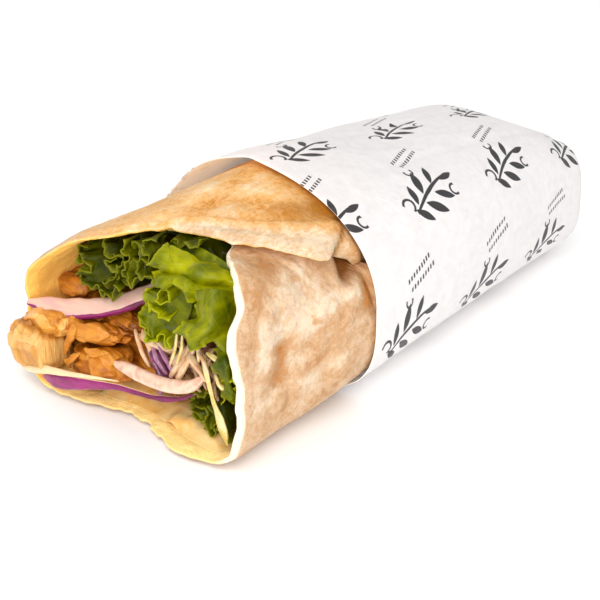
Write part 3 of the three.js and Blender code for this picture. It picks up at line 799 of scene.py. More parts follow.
@dataclass(frozen=True)
class PaperFinish:
    """Thin white greaseproof paper with a small dark printed pattern of sprigs.

    The pattern's own numbers are in mm on the unrolled sheet.
    """

    sheet: Colour = (0.94, 0.895, 0.88)
    cloudy: Colour = (0.86, 0.81, 0.795)
    # inside: brighter and warmer than the sheet, painted light standing in for light that comes
    # through the paper
    inside: Colour = (0.98, 0.9, 0.8)
    painted_glow: Colour = (0.3, 0.2, 0.1)  # painted light: emission standing in for daylight that comes through the thin sheet
    ink: Colour = (0.012, 0.011, 0.014)
    cell: tuple[float, float] = (41.0, 35.0)  # from one sprig to the next, along and across
    shift: float = 7.0  # how far the pattern is moved towards the front edge
    lean: float = -24.0  # degrees that a sprig is turned
    sprig_at: tuple[float, float] = (-3.5, 1.0)
    dashes_at: tuple[float, float] = (10.0, -12.2)  # from the sprig's middle
    dash: float = 1.45  # from one dash to the next

    leaves: Spots = (
        # middle along and across, length, width, turn in degrees
        (-8.6, 2.6, 3.6, 1.25, 62.0),
        (-6.2, -3.4, 3.4, 1.15, -58.0),
        (-2.6, 4.2, 4.3, 1.45, 55.0),
        (-0.4, -4.4, 4.2, 1.4, -50.0),
        (3.6, 4.0, 3.9, 1.3, 48.0),
        (5.8, -3.2, 3.5, 1.15, -42.0),
        (10.6, 1.4, 3.3, 1.1, 14.0),
    )
    curls: Spots = (
        # middle along and across, radius, stroke, turn in degrees of the open side
        (-11.2, -2.6, 2.1, 0.42, 150.0),
        (8.4, 5.6, 1.7, 0.38, 20.0),
        (2.0, -8.2, 1.5, 0.36, -70.0),
    )

    def sprig(self, x: Value, y: Value) -> Value:
        """Returns how far outside a sprig's strokes a place is, in mm."""
        stem = (y - x * x * 0.011 + 0.5).size() - (x.size() * -0.025 + 0.62)
        nearest = stem.most(x.size() - 10.5)
        for along_at, across_at, length, width, turn in self.leaves:
            c, s = math.cos(math.radians(turn)), math.sin(math.radians(turn))
            u = x * c + y * s - (along_at * c + across_at * s)
            v = y * c - x * s - (across_at * c - along_at * s)
            share = u * (1 / length)
            nearest = nearest.least(v.size() - (1 - share * share) * width)
        for along_at, across_at, radius, stroke, turn in self.curls:
            c, s = math.cos(math.radians(turn)), math.sin(math.radians(turn))
            u, v = x - along_at, y - across_at
            ring = ((u * u + v * v) ** 0.5 - radius).size() - stroke
            nearest = nearest.least(ring.most(u * c + v * s - radius * 0.45))
        return nearest

    def dashes(self, x: Value, y: Value) -> Value:
        """Returns how far outside two short rows of slanted dashes a place is, in mm."""
        row = (y.size() - 1.5).size() - 0.62
        dash = ((x + y * 0.35) * (1 / self.dash)).math("FRACT") - 0.5
        return row.most(dash.size() * self.dash - 0.4).most(x.size() - 6.6)

    def material(self) -> bpy.types.Material:
        """Returns the paper's material, with its print laid along the piece's UV map."""
        r = Recipe("paper", roughness=0.5, specular_IOR_level=0.25, subsurface_weight=0.6,
                   subsurface_scale=0.0015, subsurface_radius=(1.0, 1.0, 1.0),
                   emission_strength=1.0)  # fmt: skip
        long, wide = self.cell
        across, lengthwise = r.unrolled()
        odd = (across * (1 / wide)).math("FLOOR").math("MODULO", 2.0).size()
        shifted = lengthwise - self.shift + odd * (long * 0.5)
        x = (shifted * (1 / long)).math("FRACT") * long - long / 2
        y = (across * (1 / wide)).math("FRACT") * wide - wide / 2
        c, s = math.cos(math.radians(self.lean)), math.sin(math.radians(self.lean))
        wobble = (r.cloud(5, 2) - 0.5) * 0.35
        u, v = x * c + y * s - self.sprig_at[0], y * c - x * s + wobble - self.sprig_at[1]
        dashes = self.dashes(u - self.dashes_at[0], v - self.dashes_at[1])
        ink = (self.sprig(u, v).least(dashes) + (r.cloud(0.5, 2) - 0.5) * 0.12).step(0.1, -0.1)
        clouds = r.cloud(3.2, 4, 0.4, 0.62)
        sheet = r.blend(clouds.step(0.35, 0.7) * 0.7, self.sheet, self.cloudy)
        ink = ink * (1 - r.mark("inner") * 0.7)
        # the inner side is painted brighter and warmer: painted light for light through the paper
        sheet = r.blend(r.mark("inner"), sheet, self.inside)
        colour = r.blend(ink * 0.97, sheet, self.ink)
        # painted light: emission on the inner side near the loose front edge, standing in for light
        # through the paper
        painted_glow = r.blend(r.mark("loose") * (1 - ink * 0.6), (0.0, 0.0, 0.0), self.painted_glow)
        r.tree.links.new(painted_glow.socket, r.shader.inputs["Emission Color"])
        rough = 0.46 + (clouds - 0.5) * 0.3
        return r.finish(colour, rough, (r.cloud(14, 3, 0.6), 0.5), (clouds, 0.07))


@dataclass(frozen=True)
class PlainFinish:
    """A plain matt finish for the floor."""

    name: str
    colour: Colour

    def material(self) -> bpy.types.Material:
        """Returns the material."""
        r = Recipe(self.name, roughness=0.6)
        r.shader.inputs["Base Color"].default_value = (*self.colour, 1.0)
        return r.material


# ------------------------------------------------------------------ the flatbread
@dataclass
class Flatbread:
    """The bread rolled as a spiral, with its inner end under its own flap."""

    roll: RollShape = ROLL
    wall: float = 2.5
    rim: float = 0.6  # thickness left at its edge, as a share of the wall
    inset: float = 1.1
    floor: float = 0.3
    back: float = 166.0
    lip_reach: float = 34.0
    inner_start: float = -70.0
    flap_start: float = 310.0
    tuck: float = 9.0
    columns: int = 184
    girth: float = 265.0  # the way round, from the inner end to the flap's edge
    inner_end: Curve = (
        (14, -70), (22, -62), (30, -50), (36, -44), (40, -40), (44, -37), (48, -32), (54, -14),
        (60, -9), (166, -9),
    )  # fmt: skip
    flap_end: Curve = (
        (12, 305), (16, 310), (21.5, 318), (29.5, 328.5), (37.5, 335.5), (41, 334), (43.5, 334.5),
        (46, 336), (49, 339), (52, 346), (56, 352), (166, 352),
    )  # fmt: skip
    crease: Curve = (
        (13, 282), (17.5, 292), (21, 301), (24.5, 308.5), (32.5, 317.5), (41, 323), (52, 326),
    )  # fmt: skip
    # x, angle, radius along, radius round in degrees, how much more toasted
    patches: Spots = (
        (32, 287.5, 10, 10, 0.06), (33, 311, 8, 4, 0.08), (26, 286, 9, 5, 0.05),
        (49.5, 314, 5.5, 14, 0.1), (50, 286, 5.5, 16, 0.1), (42, 277, 7, 5, 0.08),
        (19, 283, 8, 4, 0.06), (30, 271, 6, 5, -0.14), (36, 286, 4.5, 4, -0.16),
        (39.5, 291, 4, 5, -0.16), (25, 295, 5, 4, -0.16), (44.5, 283, 3, 4, -0.14),
        (14.5, 284.5, 5, 3, -0.15), (9, 267, 4, 5, -0.15), (50, 281, 2.5, 3, -0.12),
        (28, -16, 6.5, 7.5, -0.2), (27.5, -6.5, 4.2, 4.5, -0.22), (18, -10, 5, 7, -0.2),
        (11, -9, 2.4, 6, -0.2), (10, 0, 2.6, 5, -0.16), (23, 5, 4.2, 4, -0.2),
        (28.5, 15, 5, 3.5, -0.16), (36.5, 12.5, 5, 4, -0.12), (11, 15, 4.5, 5, -0.14),
        (26.5, 21.5, 5, 4, -0.12), (41, -9.5, 3.6, 3.5, -0.26), (46, -7.5, 2.6, 3, -0.26),
        (20.5, -23, 4, 5, -0.12), (34, -9.5, 4, 4, -0.16), (29.5, -27.5, 2.2, 4, -0.22),
        (19.5, -38, 5, 4, 0.12), (20.5, -32.5, 6, 4, 0.12), (9.5, -25.5, 2.6, 7, 0.12),
        (6.5, -11, 3, 6, 0.1), (38, -3, 4.5, 5, 0.14), (19.5, -3, 4, 3.5, 0.16),
        (29, 2.5, 5, 4, 0.14), (16.5, 1.5, 3.2, 5, 0.16), (18.5, 7.5, 4, 4, 0.16),
        (30, 10.5, 4.5, 3.5, 0.13), (13, 8.5, 3.6, 3.5, 0.12), (19.5, 19, 5, 4.5, 0.14),
        (35.5, -20.5, 4, 5, 0.1), (13, -31, 3, 5, 0.12), (34, 24.5, 5, 4, 0.08),
        (48.5, -4, 2.6, 6, 0.34), (29.6, -6.5, 1.1, 1.6, 0.55), (38, 327, 5, 4, -0.1),
        (47, 330, 2, 2, 0.15), (44, 326, 1.5, 2, 0.15), (14, 205, 7, 9, 0.07),
        (34, 226, 9, 8, 0.08), (24, 180, 8, 11, -0.08), (41, 188, 6, 13, 0.07),
        (12, 238, 6, 6, -0.08), (37, 150, 7, 10, -0.07), (18, 150, 6, 9, 0.06),
        (22, 250, 7, 6, 0.06),
    )  # fmt: skip
    # the same for the olive brown places: partly toast, partly painted shade along the paper's edge
    browned_and_shaded: Spots = (
        (41, 311.5, 5, 4.5, 0.7), (46.5, 315.5, 4.5, 5.5, 0.8), (50.5, 308, 4, 14, 0.95),
        (50.5, 286, 4, 14, 0.95), (36.5, 306, 4.5, 3.5, 0.5), (51, 330, 3, 8, 0.4),
        (50.5, -10, 2.5, 9, 0.6), (40, 268, 8, 4, 0.35), (28, 296, 6, 3, 0.25),
    )  # fmt: skip
    # x, angle, radius, height: blisters of the near side
    blisters: Swells = (
        (27.5, -30, 1.6, 0.5), (28.8, -26.2, 1.3, 0.45), (24, -28.5, 1.8, 0.5),
        (13, -15.5, 3, 0.6), (10.5, -8.5, 2.6, 0.55), (12.5, -0.5, 2.8, 0.6),
        (21, -11, 2.4, 0.5), (24, -2.5, 3.2, 0.7), (30.5, -8.5, 2.2, 0.5), (30, 3.5, 3, 0.6),
        (34, -7.5, 3, 0.6), (20, -19.5, 2.4, 0.4), (40.5, -1, 2.6, 0.5), (10, 7, 2.2, 0.45),
        (24, 14, 3.4, 0.6), (12, -28, 2, 0.4), (38, 14, 3, 0.5), (16, 18, 3, 0.5),
        (30, 271, 4, 0.5), (37.5, 290, 3.4, 0.5), (25, 294, 3, 0.4), (42, 300, 2.6, 0.4),
        (18, -4, 3.6, -0.7), (33, 16, 4, -0.7), (17, 8, 3, -0.5), (28, -18, 3.4, -0.4),
        (34, 300, 5, -0.6), (24, 283, 4, -0.4),
    )  # fmt: skip

    def place(self, u: Array, stop: Array) -> tuple[Array, Array, Array]:
        """Returns the bread's middle surface.

        Args:
            u: share of the way round, from the inner end to the edge of the flap.
            stop: distance from the lip along the roll in mm.

        Returns:
            The points, and their angle round the roll and place along it.
        """
        lip = mix(self.inner_start, self.flap_start, u)
        ragged = 0.7 * wander(lip / 3.2, 3) + 0.5 * wander(lip / 1.3, 9)
        ragged = ragged * (1 - 0.8 * bell(lip, -49, 9))
        front = along(LIP, lip) + ragged * (1 - ramp(stop, 0, 5))
        x = stop + front * (1 - np.clip(stop / self.lip_reach, 0, 1))
        angle = (
            lip
            + (along(self.inner_end, x) - self.inner_start) * (1 - ramp(u, 0, 0.36))
            + (along(self.flap_end, x) - self.flap_start) * ramp(u, 0.78, 1)
        )
        edge = np.minimum(u, 1 - u)
        angle = angle + 0.9 * noise(x / 1.6, u * 3, x * 0, 5) * (1 - ramp(edge, 0, 0.02))
        flap = along(self.flap_end, x)
        hidden = ramp(x, 50, 54)
        under = (1 - ramp(angle - flap + 360, -1, 24)) * (1 - hidden)
        tucked = ramp(angle, 334, 348) * hidden
        span = ramp(x, 9, 16) * (1 - ramp(x, 44, 52))
        ridge = along(self.crease, x)
        fold = (bell(angle, ridge, 2.6) * 2.1 - bell(angle, ridge - 6, 4) * 1.3) * span
        fold += bell(angle, flap - 4, 5) * 0.5 * span
        depth = self.inset + self.wall / 2 + under * (self.wall + 1.2) + tucked * self.tuck - fold
        depth += self.pocket(angle, x, flap)
        floor = mix(self.floor, self.inset, ramp(x, 15, 45)) + self.wall / 2
        rest = self.roll.skin(angle, x, depth, floor)
        y, z = rest[:, 1], rest[:, 2]
        uneven = 0.5 * wave(x, y, z, 5.5) + 0.3 * noise(x / 7, y / 7, z / 7, 2)
        uneven += 0.16 * noise(x / 2.8, y / 2.8, z / 2.8, 4)
        for at, turn, radius, height in self.blisters:
            gap = np.hypot(x - at, (angle - turn) * MM_ROUND) + 0.9 * noise(x / 2, y / 2, z / 2, 6)
            uneven -= height * np.exp(-((gap / radius) ** 4))
        uneven *= ramp(z, 3, 12)
        points = self.roll.skin(angle, x, depth + uneven, floor)
        return points, angle, x

    def pocket(self, angle: Array, x: Array, flap: Array) -> Array:
        """Returns how far in the bread is pushed beside the torn end of the flap.

        Args:
            angle: degrees round the roll.
            x: the place along the roll.
            flap: the angle of the flap's edge.
        """
        near = 1 - ramp(angle, 20, 60)
        beyond, ahead = self.from_ridge(angle, x)
        hole = 2.1 * ramp(-beyond, 0.1, 2.0) * ramp(self.from_fold(angle, x), -1, 2)
        ridge = 1.3 * bell(beyond, 1.2, 1.6) * ramp(ahead, -2, 2) * (1 - ramp(ahead, 14, 18))
        last = ramp(angle, 290, 310)
        step = 1.3 * ramp(self.past_end(angle, x), -0.4, 1.0) * ramp(x, 37, 40)
        lump = 1.5 * np.exp(-(((x - 47) / 4.2) ** 2) - ((angle - 330) / 6.5) ** 2)
        curl = 2.4 * ramp(angle - flap, -6, 0) * ramp(x, 41, 44) * (1 - ramp(x, 50, 54))
        return near * (hole - ridge) + last * (step - lump + curl)

    @staticmethod
    def from_ridge(angle: Array, x: Array) -> tuple[Array, Array]:
        """Returns how far past the ridge below the pocket, and how far along it, a place is."""
        along_at, round_at = x - 41, angle * MM_ROUND + 8
        return along_at * 0.319 + round_at * 0.948, along_at * 0.948 - round_at * 0.319

    @staticmethod
    def from_fold(angle: Array, x: Array) -> Array:
        """Returns how far past the pocket's front side a place is."""
        return x - 40.5 + (12.5 + angle) * 0.24

    @staticmethod
    def past_end(angle: Array, x: Array) -> Array:
        """Returns how far past the torn end of the flap a place is."""
        return (x - 41) * 0.715 + ((angle - 360) * MM_ROUND + 18.9) * 0.7

    def toast(self, angle: Array, x: Array) -> Array:
        """Returns how toasted the bread's outside is, from 0 to 1, with painted shade along the
        crease and on the flap's torn end.
        """
        flap = ramp(angle, 205, 255)
        crease = along(self.crease, x)
        below = ramp(angle - crease, 0, 5) * flap * (1 - ramp(x, 46, 52))
        value = mix(0.39, 0.55, flap) - 0.4 * below
        # painted shade: a darker line just above the crease
        value = value + 0.16 * bell(
            angle, crease - 3, 3.5
        ) * ramp(x, 12, 18) * (1 - ramp(x, 44, 50))
        value = value + 0.08 * ramp(angle, 40, 100) * (1 - ramp(angle, 170, 215))
        # painted shade on the flap's torn end
        at_end = bell(self.past_end(angle, x), 1.1, 0.9)
        value = value + 0.45 * at_end * ramp(angle, 318, 324) * ramp(x, 37, 40)
        warp = 0.5 * noise(x / 1.9, angle / 2.7, x * 0, 15)
        for at, turn, wide, tall, more in self.patches:
            gap = ((x - at) / wide) ** 2 + ((angle - turn) / tall) ** 2 + warp
            value = value + 1.6 * more * np.exp(-(np.maximum(gap, 0) ** 1.6))
        uneven = 0.9 * noise(x / 1.7, angle / 2.4, x * 0, 6)
        for at, turn, radius, height in self.blisters:
            gap = np.maximum(np.hypot(x - at, (angle - turn) * MM_ROUND) + uneven, 0)
            value = value - 0.14 * np.sign(height) * np.exp(-((gap / (radius * 0.9)) ** 2))
        return value

    def build(self, finish: bpy.types.Material) -> bpy.types.Object:
        """Makes the bread and dresses it."""
        stops = np.concatenate([
            np.linspace(0, 4, 6)[:-1], np.linspace(4, 54, 41)[:-1], np.linspace(54, self.back, 11),
        ])  # fmt: skip
        piece, u, v = new_grid("bread_roll", self.columns, len(stops) - 1)
        stop = stops[np.rint(v * (len(stops) - 1)).astype(int)]
        points, angle, x = self.place(u, stop)
        shape(piece, points)
        set_uv(piece, angle * 0.007, x * 0.01)
        self.dress_outside(piece, u, stop, angle, x)
        mend(piece)
        thicken(piece, self.wall, 0.0, "wall")
        self.dress_inside(piece, len(u))
        modify(piece, "SUBSURF", levels=1, render_levels=1)
        relief(piece, 3.0, 0.12)
        relief(piece, 1.1, 0.07)
        return hand_over(piece, finish, "bread", "flatbread")

    def dress_outside(
        self, piece: bpy.types.Object, u: Array, stop: Array, angle: Array, x: Array
    ) -> None:
        """Marks how thick, torn, toasted and streaked each place is, and where shade is painted.

        Args:
            piece: the bread, still a sheet.
            u: share of the way round.
            stop: distance from the lip along the roll in mm.
            angle: degrees round the roll.
            x: the place along the roll.
        """
        round_gap = np.minimum(u, 1 - u) * self.girth
        near = 1 - ramp(angle, 24, 42)
        rim = mix(mix(0.3, self.rim, near), 1.0, ramp(np.minimum(stop, round_gap), 0, 3.5))
        weigh(piece, "wall", rim)
        torn = (1 - ramp(stop, 0.5, 2.9)) * mix(0.3, 1.0, near) + 0.3 * (1 - ramp(round_gap, 0, 2))
        hidden = ramp(-angle, 53, 58) * (angle < 0)
        below = ramp(angle - along(self.crease, x), 0, 4) * ramp(x, 10, 14) * (1 - ramp(x, 42, 48))
        # the mark deep is painted shade: the pocket beside the flap's torn end, the torn end itself
        # and the place under the lump
        beyond, _ = self.from_ridge(angle, x)
        deep = ramp(-beyond, -0.4, 1.0) * ramp(self.from_fold(angle, x), -1.4, 2)
        deep = deep * ramp(angle, -48, -40) * (angle < 60)
        at_end = bell(self.past_end(angle, x), 1.0, 0.8) * ramp(angle, 323, 327) * ramp(x, 38, 41)
        deep = deep + 0.75 * at_end + 0.3 * ramp(angle, 336, 344) * ramp(x, 44, 48)
        # olive brown places: partly toast, partly painted shade along the paper's edge
        browned_and_shaded = np.zeros(len(u))
        for at, turn, wide, tall, more in self.browned_and_shaded:
            browned_and_shaded += more * np.exp(-(((x - at) / wide) ** 2) - ((angle - turn) / tall) ** 2)
        corner = ramp(x, 44, 48) * ramp(angle, 322, 328)
        mark(
            piece,
            torn=torn * (1 - ramp(x, 34, 38)) * (1 - hidden),
            # painted shade: the near layer is darker where it goes under the flap
            toast=self.toast(angle, x) + 0.3 * hidden,
            streak=0.45 * ramp(angle, 240, 280) + 0.6 * below,
            browned_and_shaded=browned_and_shaded,
            deep=deep,
            warm=ramp(angle, 192, 262) * (1 - 0.8 * below) * (1 - 0.6 * corner),
            inside=np.zeros(len(u)),
            stain=0.2 + 0.8 * ramp(angle, 120, 175),
            turn=angle,
            at=x,
        )

    def dress_inside(self, piece: bpy.types.Object, count: int) -> None:
        """Marks the inner side, which is stained by the sauce, by its distance out."""
        turn, at = read_mark(piece, "turn"), read_mark(piece, "at")
        points = coordinates(piece) / MM - np.array(ROLL_ORIGIN)
        middle = self.roll.skin(turn, at, 0.0, 0.0)
        centre = np.stack([at, self.roll.size(3, at), np.full(len(at), 27.0)], -1)
        first, second = np.arange(count), np.arange(count, 2 * count)
        out = unit(middle - centre)
        lower = ((points[second] - points[first]) * out[first]).sum(-1) < 0
        inner = np.zeros(len(points), bool)
        inner[second] = lower
        inner[first] = ~lower
        mark(piece, inside=inner)
        LOG.info("bread: %d of %d vertices are inside", int(inner.sum()), len(points))


@dataclass
class BreadLayer:
    """The bread's inner layer at the bottom of the mouth, torn loose from the outer one."""

    roll: RollShape = ROLL
    wall: float = 1.0

    def build(self, finish: bpy.types.Material) -> bpy.types.Object:
        """Makes the layer and dresses it."""
        piece, u, v = new_grid("bread_inner_layer", 60, 26)
        angle = mix(84.0, 136.0, u)
        ragged = 0.5 * wander(angle / 6, 21) + 0.5 * wander(angle / 1.9, 23)
        back = 1.2 + 5.5 * ramp(angle, 92, 112) + 3 * ramp(angle, 112, 118)
        front = along(LIP, angle) + back + ragged
        x = mix(front, 30.0, v**1.3)
        lying = ramp(v * 28, 0, 9)
        floor = mix(0.3, 1.1, ramp(x, 15, 45)) + mix(1.2, 2.5, lying) + 0.3 + self.wall / 2
        curl = 0.5 * bell(v, 0, 0.08) * (1 + wander(angle / 4, 25)) * ramp(angle, 90, 100)
        sunk = 1.9 * (1 - ramp(angle, 86, 97))
        floor = floor - sunk
        depth = 1.1 + mix(1.2, 2.5, lying) + 0.3 + self.wall / 2 + curl - sunk
        points = self.roll.skin(angle, x, depth, floor + curl)
        points[:, 2] += 0.2 * noise(points[:, 0] / 3, points[:, 1] / 3, v * 0, 27)
        shape(piece, points)
        edge = np.minimum(v * 28, np.minimum(u, 1 - u) * 60)
        weigh(piece, "wall", mix(0.4, 1.0, ramp(edge, 0, 2)))
        mark(
            piece,
            toast=0.12 + 0.12 * noise(angle / 8, x / 6, x * 0, 29),
            torn=0.4 * (1 - ramp(edge, 0, 2.5)),
            inside=v * 0 + 1,
            stain=v * 0 + 0.1,
            **dict.fromkeys(("deep", "streak", "browned_and_shaded", "warm"), v * 0),
        )
        thicken(piece, self.wall, 0.0, "wall")
        modify(piece, "SUBSURF", levels=1, render_levels=1)
        relief(piece, 1.4, 0.1)
        return hand_over(piece, finish, "bread")


# ------------------------------------------------------------------ the paper sleeve
@dataclass
class PaperSleeve:
    """The wrapped paper: a tube, loose at the far top of its front edge, folded shut behind."""

    roll: RollShape = ROLL
    wall: float = 0.24
    front: float = 48.5
    sway: float = 2.0
    flare: float = 4.0
    columns: int = 232
    seam: float = 150.0  # where the sheet starts and ends, degrees round the roll
    loose_at: float = 232.0  # the middle of the loose part of its front edge
    fold_height: float = 20.0  # the middle of the folded end
    end_half: float = 32.3  # half its width
    end_high: float = 41.0
    # angle, width in degrees and depth of the long creases
    creases: tuple[Point, ...] = (
        (-48, 2.2, 0.5), (-14, 1.6, 0.3), (262, 2.5, 0.4), (205, 2.4, 0.5), (24, 2, 0.4),
    )  # fmt: skip

    def ring(self, angle: Array, x: Array, depth: Array | float) -> Array:
        """Returns points of the tube at angles and places along the roll."""
        lean = 1 - ramp(x, self.front, self.front + 30)
        at = x + self.sway * np.cos(np.radians(angle - 45)) * lean
        fade = 1 - ramp(x, self.front - 4, self.front + 42)
        loose = self.flare * bell(angle, self.loose_at, 36) * fade
        return self.roll.skin(angle, at, depth - loose, depth)

    def crumple(self, points: Array, angle: Array) -> Array:
        """Returns how far in the paper is pushed: soft hollows and sharp little ridges."""
        px, py, pz = points.T
        soft = 0.34 * noise(px / 22, py / 16, pz / 16, 31)
        ridges = 0.42 * np.abs(noise(px / 15 + py / 30, py / 11, pz / 11, 33))
        fine = 0.16 * np.abs(noise(px / 5.5, py / 5, pz / 5, 35))
        creases = 0.0
        for turn, width, deep in self.creases:
            path = turn + 5 * np.sin(px / 37 + turn)
            creases = creases + deep * bell(angle, path, width) * ramp(px, 58, 95)
        return (soft + ridges + fine + creases) * ramp(px, 48, 60) * ramp(pz, 0.4, 5)

    def end_relief(self, y: Array, z: Array, share: Array) -> Array:
        """Returns how far the folded flaps of the end stand out, in mm."""
        v = np.clip(z / self.end_high, 0, 1)
        w = (y + 1.2) / self.end_half
        side = np.abs(w)
        lower = 1 - ramp(v - (0.66 - 0.04 * w), -0.012, 0.012)
        lower = lower * (1 - ramp(side - (1.02 - 0.62 * v), -0.012, 0.012))
        upper = 1 - ramp(side - (0.42 + 0.62 * v), -0.012, 0.012)
        puff = 1.4 * np.cos(np.clip(w, -1, 1) * 1.4) * np.sin(np.clip(v, 0, 1) * math.pi)
        layers = 0.75 * upper + 0.85 * lower
        return (puff + layers + 0.3 * noise(y / 7, z / 7, y * 0, 41)) * ramp(1 - share, 0.02, 0.12)

    def build(self, finish: bpy.types.Material) -> bpy.types.Object:
        """Makes the sleeve and dresses it."""
        stops = np.concatenate([
            np.linspace(0, 40, 36)[:-1], np.linspace(40, 112, 46)[:-1], np.linspace(112, 123.5, 13),
        ])  # fmt: skip
        shares = np.concatenate([[0.992, 0.975, 0.955], np.linspace(0.93, 0.0, 38)])
        rows = len(stops) + len(shares) - 1
        piece, u, v = new_grid("paper_wrapping", self.columns, rows)
        row = np.rint(v * rows).astype(int)
        turn = self.seam + 360 * u
        turn = np.where(turn > 360, turn - 360, turn)
        signed = np.where(turn > 300, turn - 360, turn)
        x = self.front + stops[np.minimum(row, len(stops) - 1)]
        folded = shares[np.clip(row - len(stops), 0, len(shares) - 1)]
        share = np.where(row < len(stops), 1.0, folded)
        depth = self.wall / 2 + self.crumple(self.ring(turn, x, 0.0), signed)
        points = self.ring(turn, x, depth)
        points = mix(np.array([self.roll.length, -1.2, self.fold_height]), points, share[:, None])
        puffed = 0.5 * ramp(1 - share, 0, 0.06) + self.end_relief(points[:, 1], points[:, 2], share)
        points[:, 0] += np.where(share < 1, puffed, 0)
        shape(piece, points)
        set_uv(piece, u * 2.5 + 0.03, (x + (1 - share) * 25) * 0.01)
        mark(piece, turn=turn, at=points[:, 0])
        mend(piece, merge=2e-6)
        thicken(piece, self.wall, 0.0)
        self.dress_inside(piece)
        return hand_over(piece, finish, "paper", "paper_sleeve")

    def dress_inside(self, piece: bpy.types.Object) -> None:
        """Marks the paper's inner side, where its print shows only faintly, and where near the
        loose front edge it gets painted light.
        """
        turn, at = read_mark(piece, "turn"), read_mark(piece, "at")
        points = coordinates(piece) / MM - np.array(ROLL_ORIGIN)
        count = len(points) // 2
        out = unit(self.ring(turn, at, 0.0) - self.ring(turn, at, 12.0))
        outwards = ((points[count:] - points[:count]) * out[:count]).sum(-1) > 0
        inner = np.concatenate([outwards, ~outwards])
        near_front = 1 - ramp(at, self.front + 8, self.front + 34)
        # loose: where the inner side gets the painted light
        mark(piece, inner=inner, loose=inner * bell(turn, self.loose_at + 10, 62) * near_front)


# ------------------------------------------------------------------ strips
class Section(Enum):
    """The form of a strip's section."""

    ROUNDED = 0.7
    FLAT = 0.5


def settle(piece: bpy.types.Object) -> None:
    """Lists a sphere's edges and faces by their corners, as its own order varies by run."""

    def rank(part: bmesh.types.BMEdge | bmesh.types.BMFace) -> float:
        lowest = sorted(corner.index for corner in part.verts)[:3]
        return sum(float(corner) * 1e4 ** (3 - i) for i, corner in enumerate(lowest))

    mesh = bmesh.new()
    mesh.from_mesh(piece.data)
    mesh.edges.sort(key=rank)
    mesh.faces.sort(key=rank)
    mesh.to_mesh(piece.data)
    mesh.free()


def bent(middle: Array, ahead: Array, reach: float, bend: Array) -> Path:
    """Returns a short bent route of four points through the middle."""
    return tuple(
        tuple(float(c) for c in middle + ahead * reach * at + bend * (1 - at * at))
        for at in (-1.0, -0.35, 0.35, 1.0)
    )


@dataclass(frozen=True)
class Strip:
    """A strip swept along a smooth route, with its width along a side direction."""

    name: str
    route: Path
    width: float
    thick: float
    side: Point
    section: Section = Section.ROUNDED
    steps: int = 64
    sides: int = 24
    blunt: float = 8.0
    uneven: float = 0.12
    seed: float = 0.0
    wobble: float = 0.1
    profile: Curve = ()  # its width along the way, as a share

    def build(self) -> bpy.types.Object:
        """Makes the strip from a ball whose rings are strung along the route."""
        bpy.ops.object.select_all(action="DESELECT")
        bpy.ops.mesh.primitive_uv_sphere_add(segments=self.sides, ring_count=self.steps, radius=1)
        piece = bpy.context.active_object
        piece.name = piece.data.name = self.name
        settle(piece)
        ball = coordinates(piece)
        turn = np.arctan2(ball[:, 1], ball[:, 0])
        t = (np.arcsin(np.clip(ball[:, 2], -1, 1)) + math.pi / 2) / math.pi
        route = np.array(self.route)
        centre, step = spline(route, t), 1e-3
        ahead = unit(spline(route, t + step) - spline(route, t - step))
        side = np.array(self.side, float)
        flat = unit(side - (ahead @ side)[:, None] * ahead)
        up = np.cross(ahead, flat)
        ends = np.sqrt(np.clip(1 - np.abs(2 * t - 1) ** self.blunt, 0, 1))
        if self.profile:
            taper = along(self.profile, t) * ends
        else:
            taper = (0.35 + 0.65 * np.sin(math.pi * np.clip(0.06 + 0.9 * t, 0, 1)) ** 0.6) * ends
        taper = taper * (1 + self.uneven * wander(t * 7, 3 + self.seed))
        power = self.section.value
        c, s = np.cos(turn), np.sin(turn)
        w = self.width / 2 * taper * np.sign(c) * np.abs(c) ** power
        h = self.thick / 2 * taper**0.7 * np.sign(s) * np.abs(s) ** power
        points = centre + flat * w[:, None] + up * h[:, None]
        wobble = self.wobble * self.width * noise(*(points / 2.2).T, 11 + self.seed)
        outward = flat * np.sign(c)[:, None] * 0.5 + up * np.sign(s)[:, None] * 0.3
        points += outward * wobble[:, None] * ends[:, None]
        shape(piece, points)
        mark(piece, t=t, round=np.degrees(turn), painted_shade_and_tint=-0.2 + 0 * t)
        return piece


